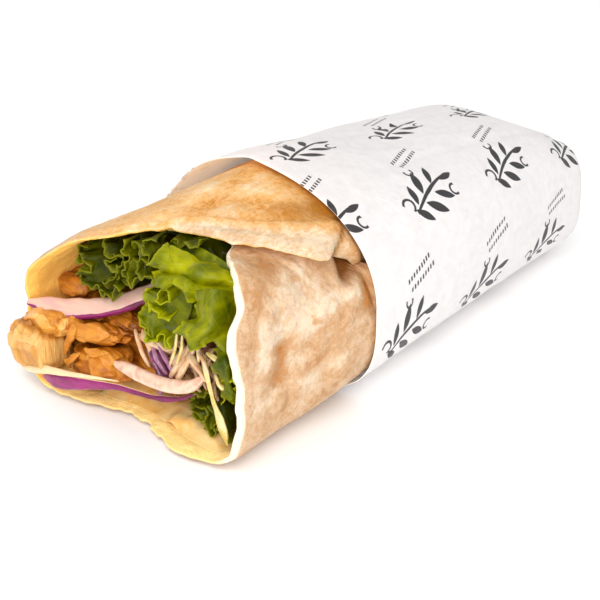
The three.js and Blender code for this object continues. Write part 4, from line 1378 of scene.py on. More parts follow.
@dataclass
class OnionSlices:
    """The two slices of red onion, and the inner ring of the lower one."""

    upper: Strip = Strip(
        "onion_slice_upper",
        (
            (-1, 37.2, 23.9), (1.8, 28, 24.6), (4.4, 17.5, 26.2), (7.6, 8, 29.5),
            (11.5, -1, 34.5), (16, -8, 39)
        ),
        5.6, 2.6, (0.62, 0.35, 0.7), seed=1, uneven=0.05,
    )  # fmt: skip
    lower: Strip = Strip(
        "onion_slice_lower",
        (
            (-3.6, 29.8, 5.6), (-4.4, 22.7, 5.9), (-4.2, 14.2, 8.1), (-3.4, 5.8, 10.3),
            (-2.4, -1.6, 11.9), (-1.0, -8.7, 12.1), (0.6, -14.2, 12.1), (2.4, -19.7, 13.3),
            (4.2, -24.2, 15.6)
        ),
        4.2, 2.2, (0.15, 0.1, 1), seed=2, uneven=0.04, wobble=0.05,
        profile=(
            (0, 0.3), (0.1, 0.85), (0.2, 1), (0.35, 0.66), (0.5, 0.42), (0.7, 0.3), (0.78, 0.42),
            (0.84, 0.32), (1, 0.25)
        ),
    )  # fmt: skip
    inner: Strip = Strip(
        "onion_ring_inner",
        (
            (-4.2, 37.6, 5.0), (-5.0, 31.8, 6.8), (-5.4, 24.8, 8.8), (-4.6, 17.6, 10.0),
            (-3.2, 8, 11.7), (-1.4, -1.2, 13.1)
        ),
        2.7, 1.6, (0.75, 0.0, 0.65), seed=4, uneven=0.04, wobble=0.05,
        profile=((0, 0.5), (0.12, 0.9), (0.3, 1), (0.55, 0.7), (0.75, 0.4), (1, 0.2)),
    )  # fmt: skip

    def build(self, finish: bpy.types.Material, cream: bpy.types.Material) -> None:
        """Makes both slices; the upper's skin is its lower edge, the lower's its front."""
        piece = self.upper.build()
        t = read_mark(piece, "t")
        edge = self.turned_to(piece, 180.0, 34, 62) * ramp(t, 0.2, 0.4)
        end = self.turned_to(piece, 200.0, 60, 110) * (1 - ramp(t, 0.07, 0.13))
        mark(piece, skin=np.maximum(edge, end))
        relief(piece, 1.6, 0.05)
        hand_over(piece, finish, "onion", "onion_upper")
        outer, inner = self.lower.build(), self.inner.build()
        t = read_mark(outer, "t")
        tip = 0.7 * (1 - ramp(t, 0.01, 0.05))
        mark(outer, skin=np.maximum(tip, self.turned_to(outer, 100.0, 52, 98)))
        mark(inner, skin=read_mark(inner, "t") * 0)
        relief(outer, 1.6, 0.05)
        hand_over(join("onion_slice_lower", [outer, inner]), cream, "onion_skin", "onion_lower")

    @staticmethod
    def turned_to(piece: bpy.types.Object, middle: float, near: float, far: float) -> Array:
        """Returns where a strip's surface faces round its section, in degrees, fading out."""
        gap = np.abs((read_mark(piece, "round") - middle + 180) % 360 - 180)
        return 1 - ramp(gap, near, far)


@dataclass
class CabbageShreds:
    """The cabbage shreds that hang out of the slaw, and the slaw's small ones."""

    lean: Point = (0.5, 0.8, 0.3)  # the side direction of the single and heaped shreds
    strips: tuple[tuple[str, Strip], ...] = (
        (
            "cabbage_thick",
            Strip(
                "shred_thick",
                (
                    (1.6, 4.6, 15.4), (0.9, -1.5, 16.3), (0.6, -8, 16.4), (0.6, -14.9, 16.8),
                    (0.9, -20.7, 17.8), (1.6, -25.6, 19.6), (3.4, -29, 22.8)
                ),
                3.7, 2.3, (0.5, 0.1, 0.85), seed=3, uneven=0.03, wobble=0.02,
                profile=((0, 0.55), (0.12, 0.85), (0.4, 1), (0.7, 1), (0.9, 0.8), (1, 0.6))
            )
        ),
        (
            "cabbage_broad",
            Strip(
                "shred_broad",
                ((6.4, -14.4, 17.4), (5.6, -16.6, 20.8), (6, -18.8, 24), (8.4, -20.4, 27)), 4.6,
                1.8, (0.2, 1, 0.1), seed=4, uneven=0.06, wobble=0.04
            )
        ),
        (
            "cabbage_long",
            Strip(
                "shred_long",
                (
                    (5, -25.8, 28.4), (3, -29.2, 26.2), (1.5, -32, 22.3), (0.6, -34.4, 18.8),
                    (0.5, -36.4, 15), (1, -37.2, 11), (2.5, -37, 6)
                ),
                3.6, 1.2, (0.1, 1, 0.25), seed=5, uneven=0.1, wobble=0.08,
                profile=(
                    (0, 0.4), (0.35, 0.36), (0.55, 0.42), (0.7, 0.9), (0.84, 1), (0.92, 0.55),
                    (1, 0.2)
                )
            )
        ),
        (
            "cabbage_purple",
            Strip(
                "shred_purple",
                ((6, -6.2, 21.6), (5, -9.6, 19.4), (4.6, -12.4, 16), (4.6, -14.6, 12.6)), 3.8,
                1.6, (0.6, 0.4, 0.5), seed=6
            )
        ),
    )  # fmt: skip
    # the loose ones at the front of the slaw
    pale_ones: Shreds = (
        (2.6, 1.5, 1, ((8, 1.8, 22.4), (7, -4.2, 23.2), (6.6, -9, 23.2), (8, -13, 22))),
        (2.2, 1.3, 2, ((8, 2.6, 24), (6.4, -0.6, 21.6), (5.8, -3, 18.8), (5.6, -5.6, 16))),
        (2.4, 1.4, 3, ((8.4, 0, 24.6), (6.4, -4.6, 22), (5.6, -7.4, 19.4), (5.6, -9.4, 17))),
        (1.8, 1.2, 4, ((7.4, -6, 26), (6.4, -8.6, 24.6), (6, -12, 23.8), (6.6, -15, 24.6))),
        (2.2, 1.3, 5, ((7, -20, 27.6), (5.6, -18.2, 23.6), (4.6, -16.4, 20), (3.8, -15, 17.2))),
        (
            2.4, 1.4, 6,
            ((6.4, -22.2, 27.8), (5, -20.9, 23.8), (3.8, -19.4, 20.2), (3.2, -18.2, 17.6))
        ),
        (
            2.2, 1.2, 7,
            ((5.6, -20.6, 25.8), (4.4, -23.4, 25), (3.4, -26.6, 23.8), (2.8, -29.8, 21.6))
        ),
        (1.7, 1.0, 8, ((5, -24.6, 28.8), (3.6, -27.6, 27.6), (2.8, -29.8, 25.6), (2.6, -31, 22.8))),
    )  # fmt: skip
    yellow_ones: Shreds = (
        (1.3, 0.8, 9, ((4.6, -17.6, 31), (3.6, -18, 27.6), (3.3, -17.2, 24.4), (3.4, -15.6, 21))),
        (1.4, 0.8, 10, ((4.6, -19.6, 31), (3.6, -20.2, 27.6), (3.4, -19.2, 24.6), (3.6, -18, 22))),
        (1.6, 0.9, 11, ((6, -24, 31), (4.4, -25.4, 28.4), (4, -26, 25.4))),
        (1.5, 0.9, 12, ((4.5, -28.2, 29), (4, -33, 28.2), (5, -33.4, 25))),
        (1.6, 1.0, 13, ((3.4, -32.4, 24.6), (2.6, -34.6, 22.8), (3.2, -36.4, 21.6))),
    )  # fmt: skip
    lilac_ones: Shreds = (
        (2.4, 1.4, 14, ((6.4, -6, 22.6), (5.2, -8.8, 20.4), (4.9, -11, 18.6), (5, -13, 16.8))),
        (2.2, 1.3, 15, ((6, -9, 24), (5.2, -11.8, 22), (5, -13.8, 20), (5, -15, 18))),
        (1.6, 1.1, 16, ((6.4, -4, 21), (5.6, -7, 19.4), (5.2, -10, 17.4))),
        (1.5, 1.0, 17, ((3.2, -12.8, 14.4), (1.6, -13.4, 12.4), (1.2, -14, 10.8))),
    )  # fmt: skip
    small: int = 40
    front: int = 26

    def build(self, finishes: dict[str, bpy.types.Material]) -> None:
        """Makes the shreds and dresses them."""
        kinds = {"cabbage_purple": "purple", "cabbage_long": "yellow", "cabbage_thick": "thick"}
        for node, strip in self.strips:
            finish = finishes[kinds.get(node, "pale")]
            piece = strip.build()
            relief(piece, 1.4, 0.05)
            hand_over(piece, finish, node if node == "cabbage_purple" else "cabbage", node)
        single = {"pale": self.pale_ones, "yellow": self.yellow_ones, "lilac": self.lilac_ones}
        for kind, ones in single.items():
            pieces = [
                Strip(
                    f"{kind}_{i}", route, width, thick, self.lean,
                    steps=32, sides=14, seed=seed, wobble=0.06,
                ).build()
                for i, (width, thick, seed, route) in enumerate(ones)
            ]  # fmt: skip
            slot = "cabbage_purple" if kind == "lilac" else "slaw"
            hand_over(join(f"slaw_front_{kind}", pieces), finishes[kind], slot)
        random = np.random.default_rng(11)
        heap = []
        for i in range(self.front):
            y, z = random.uniform(-29, -5), random.uniform(15, 28)
            heading = random.normal(1.25, 0.55)
            middle = np.array([random.uniform(6.4, 8.4) + 0.05 * abs(y + 16), y, z])
            ahead = np.array([0.25 * random.normal(), math.cos(heading), math.sin(heading)])
            bend, reach = random.normal(0, 0.9, 3), random.uniform(2.8, 5.2)
            strip = Strip(
                f"heap_{i}", bent(middle, ahead, reach, bend), random.uniform(1.2, 2.2),
                random.uniform(0.8, 1.2), self.lean, steps=20, sides=10, seed=i,
            )  # fmt: skip
            heap.append(strip.build())
        hand_over(join("slaw_front_heap", heap), finishes["middle"], "slaw")

    def build_small(self, pale: bpy.types.Material, purple: bpy.types.Material) -> None:
        """Makes the small shreds heaped on the front of the slaw."""
        random = np.random.default_rng(7)
        heaps: dict[bool, list[bpy.types.Object]] = {False: [], True: []}
        for i in range(self.small):
            dark = i % 4 == 1
            y, z = random.uniform(-33, 2), random.uniform(10, 27)
            x = 9.0 + random.uniform(0, 3.5) + 0.06 * abs(y + 16)
            heading, tilt = random.uniform(0, math.pi), random.uniform(-0.5, 0.5)
            ahead = np.array([0.4 * math.sin(3 * heading), math.cos(heading), math.sin(heading)])
            reach = random.uniform(3.0, 6.5)
            bend = random.normal(0, 1.2, 3)
            middle = np.array([x, y, z])
            strip = Strip(
                f"shred_{i}", bent(middle, ahead, reach, bend), random.uniform(1.3, 2.6),
                random.uniform(0.7, 1.2), (0.6, math.sin(tilt), math.cos(tilt)),
                steps=16, sides=10, blunt=5, seed=i,
            )  # fmt: skip
            heaps[dark].append(strip.build())
        hand_over(join("slaw_shreds_pale", heaps[False]), pale, "slaw")
        hand_over(join("slaw_shreds_purple", heaps[True]), purple, "cabbage_purple")


# ------------------------------------------------------------------ chicken
@dataclass(frozen=True)
class Chunk:
    """A torn piece of chicken: a lump with stringy relief along its fibres."""

    name: str
    at: Point
    size: Point
    turn: Point
    seed: float
    rough: float = 0.16
    detail: int = 6
    node: str = ""
    square: float = 0.8  # 1 for a ball, less for a block

    def build(self) -> bpy.types.Object:
        """Makes the chunk."""
        piece, way = new_ball(self.name, self.detail)
        x, y, z = way.T
        s = self.seed
        lump = 1 + self.rough * wave(x, y, z, 0.42, s)
        lump = lump + 0.6 * self.rough * wave(x, y, z, 0.2, s + 5)
        size = np.array(self.size)
        body = np.sign(way) * np.abs(way) ** self.square * lump[:, None] * size
        bx, by, bz = body.T
        strings = noise(bx / 1.2, by / 10, bz / 1.2, 3 * s + 1)
        strings = strings + 0.4 * noise(bx / 0.6, by / 6, bz / 0.6, 5 * s + 2)
        layers = 0.6 * ramp(noise(bx / 4.6, by / 8, bz / 4.2, 7 * s + 3), -0.1, 0.06)
        layers += 0.45 * ramp(noise(bx / 2.8, by / 6, bz / 3.0, 8 * s + 4), 0.1, 0.24)
        pits = noise(bx / 2.0, by / 2.0, bz / 2.0, 9 * s)
        height = 0.16 * strings + layers - 0.5 + 0.1 * pits
        ends = ramp(np.abs(y), 0.6, 1.0)
        ragged = noise(bx / 1.3, by * 0, bz / 1.3, 11 * s)
        body = body + unit(way * (1 / size)) * height[:, None]
        body[:, 1] += np.sign(y) * ends * ragged * 1.5
        points = body @ self.turned().T + np.array(self.at)
        points[:, 2] = np.maximum(points[:, 2], 0.8)
        shape(piece, points)
        # painted shade: the relief's low places are marked darker
        mark(piece, painted_shade_and_tint=np.clip(-0.5 * height, -0.4, 0.6))
        return piece

    def turned(self) -> Array:
        """Returns the chunk's turn as a matrix."""
        turns = Matrix.Identity(3)
        for axis, angle in zip("XYZ", self.turn):
            turns = turns @ Matrix.Rotation(math.radians(angle), 3, axis)
        return np.array(turns)

    def gap(self, points: Array) -> Array:
        """Returns about how far outside the chunk points are, in mm."""
        size = np.array(self.size)
        local = (points - np.array(self.at)) @ self.turned() / size
        return (np.linalg.norm(local, axis=-1) - 1) * size.mean()


@dataclass
class ChickenPieces:
    """The chicken at the far side of the mouth."""

    chunks: tuple[Chunk, ...] = (
        Chunk(
            "chunk_1", (-0.8, 33.2, 12.5), (6.8, 7.2, 7.8), (88, 0, 10), 1, 0.08,
            node="chicken_1", square=0.6
        ),
        Chunk(
            "chunk_2", (1.6, 29.6, 19.9), (6.4, 8.6, 4.3), (-12, 8, -10), 2, 0.1, node="chicken_2"
        ),
        Chunk("chunk_3", (7.4, 15, 19.8), (6.5, 10, 3.5), (-6, 12, 6), 3, node="chicken_3"),
        Chunk("chunk_4", (5, 12.8, 11.6), (7, 10.4, 5.0), (-10, 0, -12), 4, 0.13, node="chicken_4"),
        Chunk("chunk_5", (13, 9.5, 23), (5.5, 6, 3.6), (8, 0, 20), 5, node="chicken_5"),
        Chunk("chunk_6", (12.5, 28.5, 27.8), (6, 6.8, 3.2), (-10, 0, 0), 6, node="chicken_6"),
    )
    crumbs: int = 16

    def build(self, finishes: dict[str, bpy.types.Material]) -> None:
        """Makes the chunks, their loose threads and the crumbs between them."""
        golden = finishes["golden"]
        kinds = {"chunk_1": "pale", "chunk_2": "light", "chunk_5": "crust", "chunk_6": "crust"}
        for chunk in self.chunks:
            finish = finishes[kinds.get(chunk.name, "golden")]
            piece = chunk.build()
            points = coordinates(piece) / MM - np.array(ROLL_ORIGIN)
            gap = np.min([other.gap(points) for other in self.chunks if other is not chunk], axis=0)
            # painted shade on each chunk's underside and where it meets another chunk
            under = ramp(chunk.at[2] - points[:, 2], 0.3 * chunk.size[2], chunk.size[2] * 1.1)
            under *= chunk.name != "chunk_1"
            painted_shade_and_tint = read_mark(piece, "painted_shade_and_tint") + 0.9 * bell(np.maximum(gap, 0), 0, 1.3)
            mark(piece, painted_shade_and_tint=painted_shade_and_tint + 0.5 * under)
            hand_over(piece, finish, "chicken", chunk.node)
        random = np.random.default_rng(3)
        crumbs = [
            Chunk(
                f"crumb_{i}",
                (random.uniform(8, 13), random.uniform(2, 35), random.uniform(6, 26)),
                tuple(random.uniform(2.2, 4.2, 3)),
                tuple(random.uniform(-60, 60, 3)), 20 + i, detail=4,
            ).build()
            for i in range(self.crumbs)
        ]  # fmt: skip
        hand_over(join("chicken_crumbs", crumbs), golden, "chicken")
        hand_over(join("chicken_threads", self.threads()), golden, "chicken")

    def threads(self) -> list[bpy.types.Object]:
        """Makes the torn strips and threads of meat that lie on the chunks."""
        routes = (
            # width, thickness, side, route
            (
                5.4, 3.0, (0.3, -0.2, 1),
                ((3.4, 26, 17.8), (1.4, 20.6, 20.4), (1.2, 13.4, 22), (3.2, 6.8, 22.2))
            ),
            (
                2.3, 1.2, (0.1, 1, 0.3),
                ((2, 18.8, 24), (-0.8, 17.8, 21.4), (-1.2, 20, 16.6), (0.2, 23.6, 11.4))
            ),
            (1.7, 1.2, (0.2, 0.8, 0.3), ((3.4, 19.6, 25), (1.2, 20, 23.6), (0.6, 21.4, 21))),
            (1.8, 1.2, (0.2, 0.4, 0.8), ((3.6, 7.2, 21.8), (2.2, 4.6, 22.4), (2.6, 2.8, 23))),
            (
                2.4, 0.9, (0.2, 0.8, 0.3),
                ((2.0, 15.6, 14.8), (-0.4, 12.6, 16.6), (-0.4, 9.6, 17.4), (1.6, 6, 17.8))
            ),
            (
                2.6, 1.0, (0.2, 0.8, 0.3),
                ((1.0, 22.6, 8.2), (-1.6, 20.2, 11.0), (-1.9, 17.8, 13.4), (-0.4, 15.6, 15.4))
            ),
        )
        return [
            Strip(
                f"thread_{i}", route, width, thick, side, Section.FLAT, 40, 16, 4.0, 0.3, i, 0.16
            ).build()
            for i, (width, thick, side, route) in enumerate(routes)
        ]


# ------------------------------------------------------------------ lettuce
@dataclass(frozen=True)
class Leaf:
    """A piece of leaf through a net of points, with edges that frill.

    The net's rows run from its root to its tip, each from one side to the other.
    """

    name: str
    net: tuple[Path, ...]
    free: str = "LT"  # which edges frill: Left, Right, Base, Tip
    frill: float = 1.6
    length: float = 11.0  # from one ruffle to the next, mm
    seed: float = 0.0
    # how much lighter or darker the leaf is painted; the low values of leaf_shaded and leaf_back
    # are painted shade
    tone_and_painted_shading: float = 0.0
    grid: tuple[int, int] = (80, 72)
    wall: float = 0.5

    def build(self) -> bpy.types.Object:
        """Makes the leaf."""
        columns, rows = self.grid
        piece, u, v = new_grid(self.name, columns, rows)
        by_row = spline(np.array(self.net, float), np.linspace(0, 1, rows + 1))
        sheet = spline(np.swapaxes(by_row, 0, 1), np.linspace(0, 1, columns + 1))
        points, rim, vein, lift = self.ruffle(sheet)
        i, j = np.rint(u * columns).astype(int), np.rint(v * rows).astype(int)
        shape(piece, points[i, j])
        mark(piece, rim=rim[i, j])
        mark(piece, vein=vein[i, j])
        mark(piece, tone_and_painted_shading=self.tone_and_painted_shading + lift[i, j])
        weigh(piece, "wall", mix(1.0, 0.5, rim[i, j]))
        thicken(piece, self.wall, 0.0, "wall")
        return piece

    def ruffle(self, sheet: Array) -> tuple[Array, Array, Array, Array]:
        """Frills the sheet's free edges.

        Args:
            sheet: points, by column and row.

        Returns:
            The frilled points, how near each is to a free edge, how near to a vein, and
            how high it stands.
        """
        du, dv = np.gradient(sheet, axis=0), np.gradient(sheet, axis=1)
        normal = unit(np.cross(du, dv))
        wide = np.cumsum(np.linalg.norm(du, axis=-1), axis=0)
        tall = np.cumsum(np.linalg.norm(dv, axis=-1), axis=1)
        edges = {
            "L": (wide - wide[:1], -unit(du), tall),
            "R": (wide[-1:] - wide, unit(du), tall),
            "B": (tall - tall[:, :1], -unit(dv), wide),
            "T": (tall[:, -1:] - tall, unit(dv), wide),
        }
        gap = np.full(sheet.shape[:2], 99.0)
        away = np.zeros_like(sheet)
        x, y, z = np.moveaxis(sheet, -1, 0)
        drift = 1.3 * noise(x / 8, y / 8, z / 8, 41 + self.seed)
        offset, spread = np.zeros(gap.shape), np.zeros(gap.shape)
        for order, edge in enumerate(self.free):
            distance, way, around = edges[edge]
            away = np.where((distance < gap)[..., None], way, away)
            gap = np.minimum(gap, distance)
            for share, height, fade in ((1.0, 1.0, 0.5), (0.43, 0.4, 0.34), (0.19, 0.15, 0.2)):
                strength = self.frill * height * np.exp(-distance / (self.length * fade))
                phase = TURN * around / (self.length * share) + 2.1 * self.seed
                phase = phase + 1.7 * order + drift
                offset += strength * np.sin(phase)
                spread += 0.5 * strength * np.cos(0.5 * phase + 1.3 * self.seed)
        teeth = 0.35 * noise(x / 1.1, y / 1.1, z / 1.1, 51 + self.seed) * np.exp(-gap / 1.2)
        bubble = 0.3 * noise(x / 5, y / 5, z / 5, 61 + self.seed)
        bubble += 0.07 * noise(x / 1.8, y / 1.8, z / 1.8, 63 + self.seed)
        points = sheet + normal * (offset + bubble)[..., None] + away * (spread + teeth)[..., None]
        share_u = np.linspace(-1, 1, sheet.shape[0])[:, None]
        share_v = np.linspace(0, 1, sheet.shape[1])[None, :]
        branch = np.abs(np.sin(share_v * 9 - np.abs(share_u) * 5 + 0.4 * drift))
        vein = 0.6 * bell(branch, 0, 0.08) * (1 - np.exp(-gap / 2))
        # painted light and shade: ruffle crests are coloured lighter, troughs darker
        lift = 0.22 * np.clip(offset / max(self.frill, 0.1), -1, 1)
        return points, np.exp(-gap / 0.7), vein, lift

    @staticmethod
    def ribbon(name: str, path: Path, seed: float, frill: float = 0.9) -> "Leaf":
        """Returns a narrow curly leaf edge along a path, which runs back into the roll."""
        root = tuple((x + 5.5, y + 0.4, z + 0.8) for x, y, z in path)
        return Leaf(name, (root, path), "T", frill, 4.5, seed, grid=(72, 10), wall=0.42)


@dataclass
class LettuceLeaves:
    """The bright leaf in the middle of the mouth and the dark leaves round it."""

    bright: tuple[tuple[str, tuple[Leaf, ...]], ...] = (
        ("lettuce_upper", (
            Leaf("leaf_upper", (
                ((7, -12.4, 53.8), (9, -17.9, 52), (11, -23.9, 49.6), (13, -30.2, 47.7)),
                ((4.5, -12.6, 52.6), (6, -19.6, 51.4), (8.5, -25.7, 49.7), (12, -31.5, 47.5)),
                ((3, -11.8, 50.6), (3.6, -19.1, 49.8), (6.4, -26.2, 48.6), (11.5, -32.4, 46.7)),
                ((3.6, -9.1, 48.1), (4, -16.6, 46.6), (6.6, -24.6, 45.9), (11.6, -31.8, 44.8)),
            ), "LBT", 0.5, 15, 1, 0.1),
            Leaf("leaf_back", (
                ((13, -9, 52), (13, -18, 52), (14, -26, 50), (15, -32, 47)),
                ((10, -8, 46), (10, -18, 47), (11, -26, 46), (14, -33, 43)),
                ((9, -8, 38), (9, -18, 39), (9, -27, 38), (12, -34, 35)),
                ((10, -10, 31), (10, -18, 31), (10, -27, 31), (12, -34, 29)),
            ), "", 0.5, 9, 2, -0.3, (40, 40)),
        )),
        ("lettuce_middle", (
            Leaf("leaf_band", (
                ((6, -8.2, 44.6), (6, -17.5, 47.2), (8.5, -24.5, 46), (12, -31.8, 44.9)),
                ((3, -11.1, 45.2), (2.5, -20.9, 48.1), (6, -26.4, 45.8), (11, -32.8, 43.9)),
                ((2, -12.5, 44), (1.2, -21.5, 46.8), (4.5, -26.4, 44.8), (10.5, -33.2, 42.3)),
                ((3, -12.8, 42.1), (2, -20.2, 45), (5, -24.8, 42.4), (10.5, -33.2, 40.7)),
            ), "LT", 1.0, 9, 3, 0.12),
            Leaf("leaf_shaded", (
                ((7, -5.6, 39), (7, -10.5, 40), (7, -16.2, 42), (8, -20.9, 41.5)),
                ((4, -7.3, 37.4), (5, -11.4, 37.3), (6.5, -15.4, 37.5), (8, -20, 37.3)),
                ((2, -7.3, 33.3), (3.5, -10.9, 32.5), (5.5, -14.3, 32.4), (7.5, -18.1, 32)),
                ((1, -9.6, 29), (2, -11.4, 27.6), (4, -13.7, 26.4), (6, -17.2, 27.5)),
            ), "LT", 1.3, 6.5, 4, -0.26),
            Leaf("leaf_lobe", (
                ((5, -26.3, 44.8), (5, -30.6, 47), (8, -32, 46.1), (12, -32.5, 44)),
                ((3.5, -25.6, 41.3), (2.5, -31.2, 43.5), (5.5, -33.3, 42.5), (11, -33.3, 39.2)),
                ((2, -25.5, 37.7), (1, -31.2, 39.1), (4, -33.6, 38), (10, -34.2, 34.6)),
                ((-0.5, -21.9, 34.4), (-0.8, -29.4, 35.1), (2.5, -32.6, 34.4), (9.5, -34.2, 29.7)),
                ((0.2, -21.4, 32.5), (0.3, -30.2, 31.9), (3.5, -32.6, 32.6), (9.5, -33.8, 27.1)),
            ), "LT", 1.2, 10, 5, -0.08),
            Leaf.ribbon(
                "curl_1",
                (
                    (4, -8.2, 40), (3.4, -7.5, 37.5), (2.8, -10, 35.6), (2.6, -13.1, 35.3),
                    (2.4, -14.7, 33.7), (2.8, -16.3, 35.7)
                ),
                6
            ),
            Leaf.ribbon(
                "curl_2",
                (
                    (3.4, -13.4, 42.1), (3.2, -16.6, 42.4), (3.2, -16.8, 40.2), (3, -14.7, 38.2),
                    (3.4, -11.4, 38.4), (3.6, -13.2, 41.7)
                ),
                7, 0.4
            ),
            Leaf.ribbon(
                "curl_3",
                (
                    (1.8, -6.7, 33.2), (1.4, -7.7, 30.6), (0.8, -9.7, 27.7), (0.8, -12.3, 27.5),
                    (1.6, -13.5, 29.9), (1.6, -16.7, 27.8), (2.4, -18.2, 30.3)
                ),
                8
            ),
        )),
        ("lettuce_side", (
            Leaf("leaf_side", (
                ((6, -28.9, 29.5), (6.5, -32.7, 31.5), (10, -34, 29.5)),
                ((3.5, -32, 28), (3.5, -36.3, 30), (9, -34.9, 26)),
                ((3, -33.5, 24.2), (2.5, -37.9, 26.6), (8.5, -35.3, 22)),
                ((3, -35.1, 20.8), (3, -38.3, 22), (8, -36, 18.5)),
                ((4, -36.1, 17.3), (4.5, -37.3, 17.3), (8, -36, 15.6)),
            ), "LT", 1.0, 8, 9, -0.2, (60, 80)),
            Leaf.ribbon(
                "curl_4",
                (
                    (2.6, -35.6, 24), (2.4, -38.6, 25.8), (3, -39.6, 24.2), (3.6, -38.8, 21.2),
                    (3.2, -36.2, 19.7), (3, -33.9, 16.9)
                ),
                10, 0.5
            ),
        )),
    )  # fmt: skip
    dark: tuple[tuple[str, tuple[Leaf, ...]], ...] = (
        ("lettuce_far", (
            Leaf("leaf_far", (
                ((9, 22.5, 42.5), (11, 19.4, 44.3), (13, 15.5, 45.4), (15, 12.1, 46.3)),
                ((5.5, 20.9, 42.1), (7.5, 17.5, 42.5), (10, 13.9, 42.7), (13, 10.9, 42.6)),
                ((5, 18.2, 39), (6, 14.4, 39.8), (8, 11.1, 39.6), (12, 9.3, 38.8)),
                ((4.5, 20.5, 35), (5.5, 15.8, 35.5), (7, 11.9, 35.6), (11, 10.1, 34.8)),
                ((4.5, 14.9, 33.2), (5, 11, 33), (6, 8.6, 32.3), (10, 8.4, 32.1)),
            ), "LT", 1.6, 5.5, 11, 0.0),
            Leaf("leaf_far_2", (
                ((6, 10.4, 47.5), (9, 9.1, 48), (13, 8.1, 47.4)),
                ((3.5, 6.8, 46.9), (6, 4.6, 46.7), (11, 4.6, 44.5)),
                ((3.5, 2.4, 44.3), (6, 2.2, 42.9), (11, 3.3, 40.9)),
                ((3, 6.2, 38.7), (5.5, 3.6, 38.1), (10, 3.3, 36.6)),
            ), "LRT", 1.5, 5.5, 12, -0.1),
            Leaf("leaf_far_3", (
                ((7, -0.4, 50), (9, -2.7, 51), (13, -3.6, 50.2)),
                ((4.5, -4.6, 49.9), (7, -6.3, 49.6), (12, -5.7, 47.8)),
                ((4, -1.7, 44.8), (6.5, -4.3, 44.7), (12, -4.2, 42.8)),
                ((3.5, -3.1, 40.3), (6, -4.6, 41.6), (10, -4.7, 40.8)),
            ), "LRT", 1.4, 5.5, 13, -0.05),
            Leaf.ribbon(
                "curl_5",
                (
                    (5, 17.4, 45), (4.5, 20.5, 42), (4.2, 18.8, 39.7), (4, 14.5, 39.6),
                    (3.8, 19.6, 35.2), (3.8, 17.3, 33.5), (3.8, 12.7, 34.4), (3.8, 10.5, 32.7),
                    (4, 7.4, 33.3), (4.5, 4.6, 36.1)
                ),
                14
            ),
            Leaf.ribbon(
                "curl_6",
                (
                    (5, 7.5, 49), (4, 8.5, 47), (3.6, 4.7, 45.8), (3.4, 7.1, 42.3),
                    (3.2, 3, 41.9), (3.2, 5.7, 38.2), (3.6, 2.7, 36.7)
                ),
                15
            ),
            Leaf.ribbon(
                "curl_7",
                (
                    (5.5, 0.2, 50.4), (4, 1.8, 48.2), (3.6, -1.9, 46.3), (3.4, 0.9, 42.5),
                    (3.2, -2.3, 40.1), (3.6, -5, 41.7)
                ),
                16
            ),
            Leaf.ribbon(
                "curl_8",
                (
                    (6.5, -7.9, 53), (5, -4.9, 50.9), (4.5, -7.9, 49.2), (4, -4.1, 45.5),
                    (3.8, -6, 43), (4, -9.6, 43.5)
                ),
                17
            ),
        )),
        ("lettuce_deep", (
            Leaf("leaf_deep", (
                ((14, -8.7, 51.7), (16, -11.8, 52.5), (19, -14.9, 52), (24, -18.8, 50.1)),
                ((11, -11.4, 51.6), (14, -13.8, 51.3), (17, -16.8, 50.2), (22, -21, 47.4)),
                ((13, -13.2, 49.4), (15, -15.5, 48.8), (17, -19.2, 47), (22, -22, 43.9)),
            ), "LT", 1.0, 6, 18, -0.1, (84, 40)),
            Leaf("leaf_deep_2", (
                ((22, 10.3, 46.3), (24, 2.6, 47.3), (26, -6.8, 47.6), (28, -14.7, 46.4)),
                ((18, 7.6, 44.3), (19, -1.5, 46.3), (21, -11.5, 46.5), (24, -18.6, 44.3)),
                ((20, 7.8, 39.5), (21, -0.6, 40.5), (23, -9.9, 39.7), (26, -16.4, 36.3)),
            ), "LT", 1.8, 8, 7, -0.15, (84, 50)),
            Leaf.ribbon(
                "curl_9",
                ((11, -10.5, 53), (10, -13.6, 52), (10.5, -17.5, 52.8), (12, -20, 53.5)), 19
            ),
        )),
        ("lettuce_low", (
            Leaf("leaf_low", (
                ((9, -16.9, 9.7), (11, -19.4, 11.6), (13, -23.4, 12.2)),
                ((6.5, -19.4, 8.7), (7.5, -23, 10.8), (10, -26.3, 11.6)),
                ((5, -25.4, 8.7), (6.5, -26.1, 8.9), (9, -28.7, 10)),
                ((4.5, -26.5, 5.4), (5.5, -28.5, 6.7), (8, -31.2, 9)),
            ), "LBT", 1.2, 6, 20, 0.15, (64, 64)),
            Leaf("leaf_low_2", (
                ((8, -27, 13.9), (9, -30.4, 16), (13, -30.7, 14.4)),
                ((4.5, -29.7, 12.9), (5, -33.6, 14.8), (10, -33.6, 12.7)),
                ((3, -32.6, 10.6), (3.5, -36, 11.8), (9, -34.5, 8.7)),
                ((4, -34.3, 6.8), (4.5, -36, 6.6), (8, -35.3, 6)),
            ), "LT", 1.2, 6, 21, -0.1, (64, 64)),
            Leaf.ribbon(
                "curl_10", ((7, -17.5, 10.1), (6, -21.7, 13.9), (6, -26.1, 15), (7, -28.1, 16.5)),
                22
            ),
            Leaf.ribbon(
                "curl_11",
                (
                    (5.5, -22.8, 10.4), (5, -26.3, 11.7), (4.6, -27.7, 10.4), (4.4, -26.4, 8.1),
                    (4.6, -23.6, 7.5), (5.2, -22.3, 9.2)
                ),
                23, 0.4
            ),
            Leaf.ribbon(
                "curl_12",
                ((4.6, -26.6, 8.7), (4.2, -28, 6.2), (4, -29.9, 5.4), (4.6, -30.1, 7.2)), 24, 0.4
            ),
        )),
    )  # fmt: skip

    def build(self, bright: bpy.types.Material, dark: bpy.types.Material) -> None:
        """Makes the leaves and dresses them."""
        kinds = ((self.bright, bright, "lettuce"), (self.dark, dark, "lettuce_dark"))
        for group, finish, slot in kinds:
            for node, leaves in group:
                piece = join(leaves[0].name, [leaf.build() for leaf in leaves])
                hand_over(piece, finish, slot, node)


